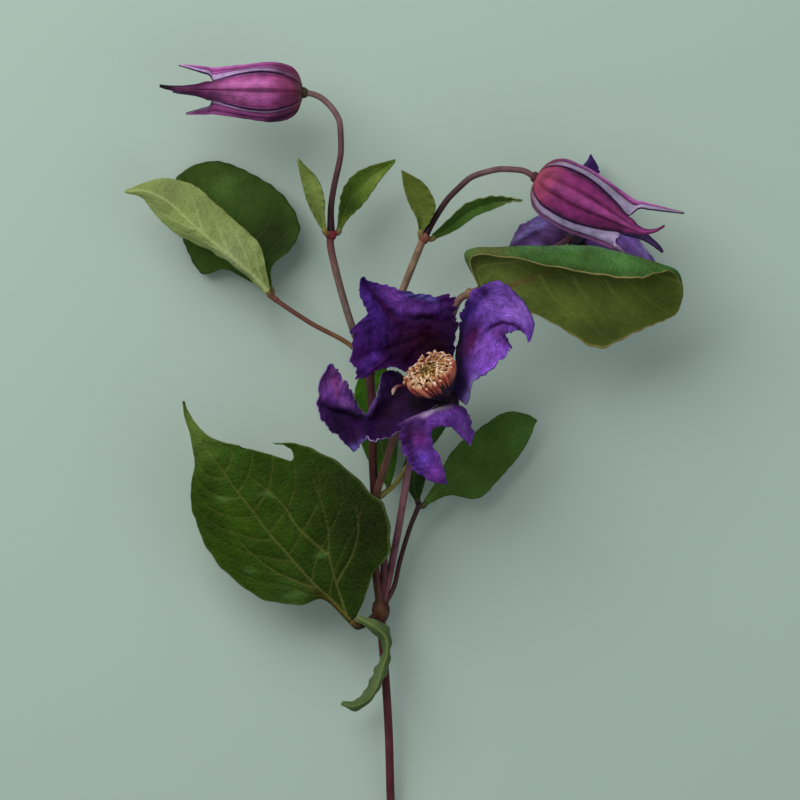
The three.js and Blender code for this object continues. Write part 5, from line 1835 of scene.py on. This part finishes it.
def leaves() -> list[Leaf]:
    """All thirteen leaves, with the colours of both their faces.

    Returns:
        The leaves, in the order of the part's nodes.
    """
    upper = Slot.LEAF_UPPER
    return [
        Leaf("lower_left_leaf", LOWER_LEFT_LEAF, (125, 190), upper, (QUILTED_LEAF_TOP, LEAF_BACK),
             (Paint("#283f0b", (
                 Streak(((-27, 95), (-22, 90.5), (-16, 86), (-12, 82)), 0.8, "#4a2c14", 0.9),
                 # Painted shade: the dark spots at (-8.4, 111.6), (-19.2, 127.1) and (-14.6, 93) over the
                 # leaf's right part
                 Spot(-8.4, 111.6, 15, "#151f05"), Spot(-19.2, 127.1, 9.3, "#1e2c0c", 0.7),
                 Spot(-14.6, 93, 8.1, "#1d2b0c", 0.6), Spot(-50.2, 110, 12.4, "#2c460a", 0.7),
                 Spot(-51.8, 135.8, 7.4, "#2c460f"), Spot(-62, 142.6, 7.4, "#587030"),
                 Spot(-31.6, 90.5, 6.8, "#344c1a"),
                 # Painted highlights: the short pale streaks on the puffs between the veins
                 Streak(((-54.5, 121.3), (-51, 120.9)), 0.8, "#4a6a34", 0.5),
                 Streak(((-41.5, 122.6), (-38.3, 123), (-36.8, 121.8)), 0.7, "#55703e", 0.55),
                 Streak(((-24, 103.2), (-21, 103.8)), 0.9, "#456a34", 0.5),
                 Streak(((-46, 98.6), (-43, 98.2)), 0.7, "#44663a", 0.45),
                 Streak(((-34, 90.6), (-27, 91.4)), 0.8, "#4a6a38", 0.45),
             ), rim="#46542a"), UNDER_GREEN),
             notch=LOWER_LEFT_LEAF_NOTCH, side_veins=7, vein_width=0.4, vein_depth=0.6, valley=3.5,
             swell=0.55, extra_veins=(
                 ((-14.3, 84.9), (-17.4, 94.5), (-19.5, 103.2), (-19.8, 110.7), (-21.7, 119.3),
                  (-24.8, 127.7)),
                 ((-19.8, 103.5), (-29.1, 111.9), (-33.2, 118.4), (-37.2, 122.5), (-41.5, 125.9),
                  (-47.1, 130.2)),
                 ((-25.1, 93.3), (-32.2, 96.1), (-39.1, 100.1), (-45.6, 105.7), (-51.5, 113.5)),
                 ((-17.4, 94.5), (-12.4, 103.5), (-10.5, 111.6), (-11.2, 119)),
             )),
        Leaf("lower_curled_leaf", LOWER_CURLED_LEAF, (50, 120), upper, TOP_FACES,
             (Paint("#667f44", (Spot(-4.3, 74.4, 5, "#4a5c38"), Spot(-7.4, 57.4, 5, "#8aa455"),
                                Spot(-9.5, 83, 3, "#2f5a1a")), rim="#a3b07a"),
              Paint("#4a5c38")), side_veins=3, vein_width=0.2),
        Leaf("upper_left_light_leaflet", UPPER_LEFT_LIGHT_LEAFLET, (66, 130), Slot.LEAF_UNDERSIDE,
             (LEAF_TOP, BRIGHT_LEAF_BACK),
             (Paint("#2d4d17"), Paint("#74844c", (
                 Spot(-49.6, 197.8, 5, "#879763"), Spot(-70.4, 217, 4.3, "#6c7a48"),
             ), rim="#6a6a40")),
             side_veins=4, vein_width=0.5),
        green_leaf("upper_left_dark_leaflet", UPPER_LEFT_DARK_LEAFLET, (72, 120), Paint("#2c4414", (
            Spot(-37.2, 203.1, 8.1, "#182509"), Spot(-58, 194.7, 5.6, "#334917"),
            Spot(-51.8, 220.1, 5, "#3a5420"),
        ), rim="#1c2c0c"), 4, 0.35),
        green_leaf("left_node_outer_leaf", LEFT_NODE_OUTER_LEAF, (40, 90),
                   Paint("#64753a", rim="#43501f"), 3, 0.25),
        green_leaf("left_node_inner_leaf", LEFT_NODE_INNER_LEAF, (40, 90), Paint("#48601f", (
            Spot(-12.4, 212.3, 3.4, "#2d4416"), Spot(-4.3, 220.1, 3.7, "#5a6c30"),
        ), rim="#2f3f16"), 3, 0.25),
        green_leaf("right_node_outer_leaf", RIGHT_NODE_OUTER_LEAF, (40, 90),
                   Paint("#4f5b24", rim="#3c4520"), 3, 0.25),
        green_leaf("right_node_inner_leaf", RIGHT_NODE_INNER_LEAF, (40, 110), Paint("#35551f", (
            Spot(37.2, 212.3, 3.1, "#56603a"),
        ), rim="#5b5034"), 3, 0.25),
        Leaf("right_folded_leaf", RIGHT_FOLDED_LEAF, (130, 160), Slot.LEAF_UNDERSIDE,
             (QUILTED_LEAF_TOP, LEAF_BACK),
             (Paint("#365a2a", (
                 # The spot at (70, 197) is a painted highlight near the folded strip's right end
                 Spot(30.4, 196.5, 5.6, "#5c5f34"), Spot(70, 197, 6, "#44703a", 0.7),
                 Streak(((30, 196), (48, 193.5), (64, 191), (80, 190.5)), 1.6, "#2a461c", 0.8),
                 Streak(((40, 199), (60, 199.5), (74, 197.5)), 1.2, "#486c48", 0.8),
             ), rim="#8a7c52"), Paint("#515f26", (
                 Spot(33.5, 189.1, 9.3, "#5b6830"), Spot(84.6, 184.4, 10.5, "#3c4718"),
                 Spot(64.5, 172.1, 6.8, "#3c481c"),
                 Streak(((24.2, 185.4), (36.3, 187.2), (49.6, 191.9)), 0.7, "#6a4a30", 0.8),
                 # Painted shade on the underside where the folded strip hangs over it
                 Streak(((40, 192), (56, 191), (72, 189.5)), 3.5, "#3c4a1a", 0.7),
             ), rim="#857a4a")), side_veins=6, vein_width=0.4, extra_veins=(
                 ((26, 187.5), (30, 190), (31, 194)), ((27, 187), (33, 184), (40, 181)),
                 ((46, 190.5), (50, 184), (57, 178)), ((56, 190.5), (60, 184), (66, 177)),
                 ((66, 189.5), (70, 184), (75, 179)),
             )),
        green_leaf("back_right_leaf", BACK_RIGHT_LEAF, (58, 100), Paint("#38551f", (
            Spot(24.2, 127.7, 5, "#3f5c26"), Spot(42.8, 142.6, 5, "#3c5a28"),
        ), rim="#22331a"), 3, 0.3),
        green_leaf("back_small_leaflet", BACK_SMALL_LEAFLET, (40, 60), Paint("#1f3314"), 2, 0.2),
        green_leaf("back_middle_leaf", BACK_MIDDLE_LEAF, (48, 80),
                   Paint("#376316", (Spot(-3, 139, 10, "#203812"),)), 3, 0.25),
        # Painted shade: the whole tint is darkened for the leaf lying under the open flower, and the spot
        # at (16, 153) darkens it further beneath the flower's centre
        green_leaf("back_upper_leaf", BACK_UPPER_LEAF, (50, 80),
                   Paint("#26401a", (Spot(16, 153, 6, "#0c1408"),)), 3, 0.25),
    ]


def open_sepals() -> list[Sepal]:
    """The sepals of both open flowers.

    Returns:
        The sepals, in the order of the part's nodes.
    """
    silk = (SILK, SILK_BACK)
    violet = Slot.SEPAL_VIOLET
    outside = Paint("#4a3488", edge="#35205e")
    downy = Paint("#4a3488", edge="#35205e", rim="#8c7aa8")
    inner = Paint("#4a2a88")
    return [
        Sepal("open_flower_top_sepal", OPEN_FLOWER_TOP_SEPAL, (115, 150), violet, silk,
              (Paint("#3c1358", (
                  Spot(-6, 173, 5, "#331868", 0.7), Spot(-7.4, 184.1, 5.6, "#55309c", 0.8),
                  Streak(((-5.9, 181.5), (-5, 178), (-3, 175)), 1.8, "#42288c", 0.5),
                  # Painted highlights: the bright ridge, the lit panel beside it and the bluish light along
                  # the rolled top edge
                  Streak(((-1.9, 185.4), (1.6, 183.2), (5, 181.4)), 2.6, "#8046b2", 0.95),
                  Streak(((5, 181.4), (9.3, 180), (14.9, 180.2)), 1.8, "#542c86", 0.8),
                  Spot(7.4, 178.8, 2.6, "#7440a6", 0.7), Spot(2.2, 179.6, 1.8, "#6a3ea4", 0.7),
                  Streak(((3.8, 184.8), (9.3, 184.1), (13.8, 182.5)), 1.0, "#6a66c4", 0.6),
                  Spot(9.9, 171.1, 8, "#240214"), Spot(14.9, 167.4, 6, "#15010b"),
                  Spot(3.7, 166.8, 6, "#26041e"),
                  # Painted highlight on the lit side of the lower-left ridge, and painted shade just to its
                  # right
                  Streak(((-9.8, 161), (-6.2, 164.5), (-2.9, 169.5)), 1.5, "#40227c", 0.7),
                  Spot(0.6, 167.5, 3.6, "#220530", 0.8),
                  Streak(((18.6, 179.2), (18.9, 173.6), (18.6, 168.6)), 2.4, "#170726", 0.9),
                  # Painted shade down the two creases: one from the tip, one under the overhanging upper
                  # strip
                  Streak(((-9, 189), (-4.8, 183.5), (-1, 179.2), (4, 173)), 1.2, "#2e0628", 0.9),
                  Streak(((6.2, 177), (9.9, 178.2), (13.6, 177)), 1.0, "#1a0618", 0.8),
              )), outside),
              folds=(
                  Fold(((-9, 189), (-4.8, 183.5), (-1, 179.2), (4, 173)), 1.3, -1.5),
                  Fold(((-2.5, 185.4), (3.7, 181), (9.9, 178.6), (15.5, 179.8)), 2.2, 1.5),
                  Fold(((6.2, 176.4), (9.9, 177.6), (14.3, 176.1)), 1.0, -1.0),
                  Fold(((-10.5, 160.6), (-2.5, 164.3), (5, 166.8)), 2.4, 1.0),
                  Fold(((-12.1, 168.9), (-6.2, 169.3), (0.6, 171.1)), 2.0, 0.9),
                  Fold(((-11.2, 164.9), (-5, 166.2), (1.9, 168.6)), 1.2, -0.9),
                  Fold(((-9.3, 179.8), (-5, 177.9), (0, 175.5)), 1.6, 0.8),
              ), ragged=0.12, crinkle=0.6, seed=1.0),
        Sepal("open_flower_right_sepal", OPEN_FLOWER_RIGHT_SEPAL, (100, 160), violet, silk,
              (Paint("#7646b8", (
                  Spot(33.5, 182.3, 8.1, "#8e5ecc"), Spot(40.3, 179.2, 4.2, "#9a6cd4"),
                  Spot(29.1, 166.8, 5, "#8450bc", 0.8), Spot(23.5, 179, 3.4, "#4c34a0", 0.7),
                  Streak(((25.6, 187), (28, 185.6), (30.4, 184)), 1.8, "#32145c", 0.8),
                  Streak(((20.8, 148), (20.8, 156), (21, 164), (21.4, 172), (23, 181)), 3.8, "#0e0322"),
                  Streak(((23.6, 167), (25.1, 171.1), (26.4, 175)), 2.2, "#480c3a", 0.9),
                  # Painted shade along the crease
                  Streak(((28, 172.4), (31, 174.8), (34, 175.8), (37.8, 175.2), (40.6, 172.7)), 0.9,
                         "#260a40"),
                  Spot(33.4, 172.6, 2.2, "#4a1c48", 0.8), Spot(35.6, 170.2, 1.8, "#3a1038", 0.8),
                  Streak(((26.2, 159), (25, 155.5), (22.6, 150.6)), 1.2, "#8a7cc4", 0.9),
              )), outside),
              folds=(
                  Fold(((29.1, 173), (33.5, 175.8), (37.8, 175.2), (40.9, 172.4)), 1.1, -1.1),
                  Fold(((25.4, 176.1), (31, 181), (36, 182), (40.9, 177.9)), 3.0, 1.2),
                  Fold(((22.9, 160.6), (25.4, 167.4), (28.5, 172.4)), 1.8, 0.8),
                  Fold(((26, 159.3), (29.8, 164.3), (32.9, 169.3)), 1.2, -0.7),
                  Fold(((23.6, 177.3), (26.7, 181), (30.4, 185.4)), 1.3, -0.8),
              ), ragged=0.13, seed=2.0),
        Sepal("open_flower_left_sepal", OPEN_FLOWER_LEFT_SEPAL, (100, 175), violet, silk,
              (Paint("#2e1048", (
                  # Painted highlights: the pale spots at (-18.6, 156.6), (-14.8, 150.6), (-12.4, 150) and
                  # (-16.8, 157.5) on the upper lobe
                  Spot(-18.6, 156.6, 5.2, "#8850ac"), Spot(-19.2, 151.9, 3.1, "#6a3090", 0.7),
                  Spot(-14.8, 150.6, 1.8, "#8a50ac", 0.7), Spot(-12.4, 150, 1.5, "#7c509c", 0.6),
                  Spot(-16.8, 157.5, 1.8, "#9a4c9c", 0.5),
                  Spot(-20.8, 159.3, 2.2, "#6a3076", 0.8),
                  # Painted shadow below the folded upper lobe, and painted shade down the crease beneath it
                  Spot(-16.7, 144.5, 4.7, "#200a30"), Spot(-11.2, 140.1, 3.1, "#2c1038"),
                  Streak(((-22.6, 151.3), (-18, 148.8), (-13, 147.6), (-8.1, 146)), 1.0, "#14061f"),
                  Streak(((-3.7, 157.2), (-5, 151.9), (-8.1, 147.6), (-11.2, 148.5)), 1.0, "#6a4a92", 0.8),
                  Spot(-1.9, 148.2, 4.3, "#1c0620"), Spot(1.9, 154.4, 3.7, "#1e0620"),
                  Spot(-2.5, 142.6, 3.1, "#280e38"),
                  Spot(8, 150.5, 5, "#14040f"),
                  Streak(((-18, 160.6), (-17.4, 156.9), (-16.7, 153.1)), 0.7, "#7a3468", 0.7),
                  # Painted highlight at the lower tip
                  Streak(((-12.4, 137.6), (-10.5, 136.4), (-9, 138.9)), 0.9, "#7a68c8", 0.7),
              )), downy),
              folds=(
                  Fold(((-22.9, 151.3), (-18, 148.5), (-13, 147.2), (-8.1, 145.7)), 1.2, -1.6),
                  Fold(((-21.7, 153.1), (-16.7, 150.7), (-12.4, 149.7)), 1.8, 1.3),
                  Fold(((-18, 161.8), (-17.4, 156.9), (-16.7, 152.5)), 1.0, 0.7),
                  Fold(((-6.2, 140.1), (-5, 145.1), (-1.2, 149.4), (3.1, 152.5)), 2.0, -1.0),
                  Fold(((-19.2, 144.5), (-14.6, 142.6), (-10.8, 138.3)), 1.4, 0.8),
              ), ragged=0.16, seed=3.0),
        Sepal("open_flower_bottom_sepal", OPEN_FLOWER_BOTTOM_SEPAL, (125, 150), violet, silk,
              (Paint("#5a2e86", (
                  # The spot at (9, 133.8) is a painted blue-violet sheen
                  Spot(9, 133.8, 3, "#6440b4", 0.8), Spot(13.6, 129, 2.5, "#8440b0"),
                  Spot(6.2, 142, 4.6, "#240a2c", 0.95), Spot(8.6, 139.6, 2.2, "#6a2478", 0.8),
                  Streak(((3.5, 145), (4.2, 139), (6, 134), (9, 130)), 1.2, "#30104a", 0.8),
                  Spot(22.9, 143.2, 3.1, "#4c3070", 0.8),
                  # The pale downy rim: partly the real down, partly a painted highlight along it
                  Streak(((9.3, 146.9), (13.6, 149.1), (18, 150)), 0.8, "#b9a4c4", 0.9),
                  Streak(((4.3, 145.7), (6.8, 146.9), (9.9, 147.6)), 0.7, "#8a6f9c", 0.6),
                  Spot(17.1, 151.3, 1.9, "#2a0c34"), Spot(21.1, 149.4, 2.2, "#2c1440", 0.8),
                  Streak(((13, 145.7), (16.7, 147.2), (20.1, 147.6)), 1.2, "#6a3ca0", 0.8),
              )), downy),
              folds=(
                  Fold(((5.6, 142.6), (7.4, 137), (11.8, 132.1), (15.5, 127.1)), 1.6, 0.9),
                  Fold(((3.7, 144.5), (5.3, 138.9), (8.7, 132.7)), 1.0, -0.8),
                  Fold(((20.5, 148.2), (22.3, 144.5), (23.6, 140.1)), 1.1, 0.7),
                  Fold(((9.9, 146.3), (9.9, 142), (9.3, 137.6)), 1.0, -0.6),
              ), notch=OPEN_FLOWER_BOTTOM_SEPAL_NOTCH, ragged=0.12, ruffle=0.35, seed=4.0),
        Sepal("back_flower_left_sepal", BACK_FLOWER_LEFT_SEPAL, (56, 78), violet, silk,
              (inner, Paint("#573a70", (
                  Spot(46.2, 208, 2.8, "#6d5aa5"),
                  Streak(((37.2, 199.6), (41.5, 202.7), (46.2, 204.6)), 1.0, "#240a3c"),
                  Streak(((38, 197.5), (42.5, 199.5), (47, 200.5)), 1.2, "#7a5cac", 0.8),
                  Streak(((38.4, 201.5), (42.8, 205.2), (47.4, 207.1)), 1.0, "#7466a8", 0.8)))),
              ruffle=0.5, waves=2.0, seed=5.0),
        Sepal("back_flower_top_sepal", BACK_FLOWER_TOP_SEPAL, (56, 78), violet, silk,
              (inner, Paint("#380e60", (Spot(61.1, 226.9, 1.2, "#5a4a80", 0.4),))),
              ruffle=0.5, waves=2.0, ragged=0.2, seed=6.0),
        Sepal("back_flower_right_sepal", BACK_FLOWER_RIGHT_SEPAL, (56, 78), violet, silk,
              (inner, Paint("#8a60bc", (Spot(79.4, 198.4, 2.6, "#a282d8"),))),
              ruffle=0.5, waves=2.0, seed=7.0),
        Sepal("back_flower_bottom_sepal", BACK_FLOWER_BOTTOM_SEPAL, (56, 78), violet, silk,
              (inner, outside), ruffle=0.5, waves=2.0, seed=8.0),
    ]


def buds() -> list[Bud]:
    """The two nodding buds.

    Returns:
        The buds.
    """
    return [
        Bud("left_bud", LEFT_BUD_BASE, (-1, 0.02, 0),
            [(0.6, 2.2, 1.5), (1.9, 5.8, 3), (4.3, 8, 4.2), (8.7, 9.1, 5.5), (12.7, 9, 5.8),
             (16.4, 8.5, 5.5), (19.5, 8.1, 5), (23.5, 7.6, 4), (27.9, 7.1, 2.9)],
            {BudSide.FRONT: (44.6, 5.2, 1), BudSide.TOP: (39, 8, 0), BudSide.BACK: (41, 6.5, 0),
             BudSide.BOTTOM: (36.5, 7.4, 0)},
            # The rib highlight tints are painted highlights, the groove tints painted shade in the grooves
            {BudSide.FRONT: BudPaint("#96407e", (Spot(-61, 249.2, 8, "#46093a", 0.95),
                                                 Spot(-70, 249.4, 5, "#1e0616")),
                                     base_tint="#561a28", outline_tint="#4c1e48", tip_tint="#1c0814",
                                     margin=0.05, groove_shade_tint="#3c0c34", rib_highlight_tint="#b868ac",
                                     groove_at=0.05, rib_highlight_at=0.38),
             BudSide.TOP: BudPaint("#a2509e", (Spot(-34, 254, 4, "#3c1030", 0.8),), margin=0.28,
                                   margin_tint="#a890be", outline_tint="#4c1e48"),
             BudSide.BOTTOM: BudPaint("#a04a8e", (Streak(((-30, 241.6), (-40, 237.8), (-56, 239.6)), 1.5,
                                                         "#2a0c2c"),),
                                      margin=0.14, margin_tint="#ac90bc", outline_tint="#4c1e48"),
             BudSide.BACK: BudPaint("#6a3070")}),
        Bud("right_bud", RIGHT_BUD_BASE, (0.883, -0.469, 0),
            [(0.5, 2.4, 1.6), (1.2, 5, 3.4), (2.8, 7.5, 4.9), (5.3, 9.2, 6.3), (8.5, 9.8, 6.9),
             (13, 10.1, 7.1), (17, 9.9, 6.7), (21.5, 9.4, 5.7), (26.5, 8.7, 4.2), (31, 8.3, 2.8)],
            {BudSide.FRONT: (42.3, 7, 5.2), BudSide.TOP: (46, 12, 0), BudSide.BACK: (46, 6, -1.7),
             BudSide.BOTTOM: (35.5, 7.5, 0)},
            # Here too the rib highlight tint is a painted highlight, the groove tint painted shade
            {BudSide.FRONT: BudPaint("#7c2a66", tip_tint="#5a1840", margin=0.04, base_tint="#963e54",
                                     margin_tint="#5a5a60", rib_highlight_tint="#93407f", groove_shade_tint="#4a0c36"),
             BudSide.TOP: BudPaint("#7c4280", margin=0.42, margin_tint="#988ead", tip_tint="#7a5c74"),
             BudSide.BOTTOM: BudPaint("#a070a8", margin=0.52, margin_tint="#c6b2e0"),
             BudSide.BACK: BudPaint("#6a3070")}),
    ]


def heads() -> list[StamenHead]:
    """The stamens of both open flowers.

    Returns:
        One head for each flower.
    """
    return [
        StamenHead("open_flower_stamens", OPEN_FLOWER_CENTRE, (-0.47, 0.69, 0.55), 8.6, 10.3, 240,
                   strays=(((10, 154, 44.5), (5, 156, 46), (1.9, 156.2, 46.5), (0.6, 155, 46.4),
                            (0.2, 153.6, 46)),)),
        StamenHead("back_flower_stamens", BACK_FLOWER_CENTRE, (0.15, 0.1, -0.98), 5.0, 7.5, 48),
    ]


def main() -> None:
    """Builds every sub-assembly in order, then the studio."""
    logging.basicConfig(level=logging.INFO, format="%(name)s: %(message)s")
    for sub_assembly in (Stem(), *leaves(), *open_sepals(), *buds(), *heads(), Studio()):
        sub_assembly.build()


if __name__ == "__main__":
    main()
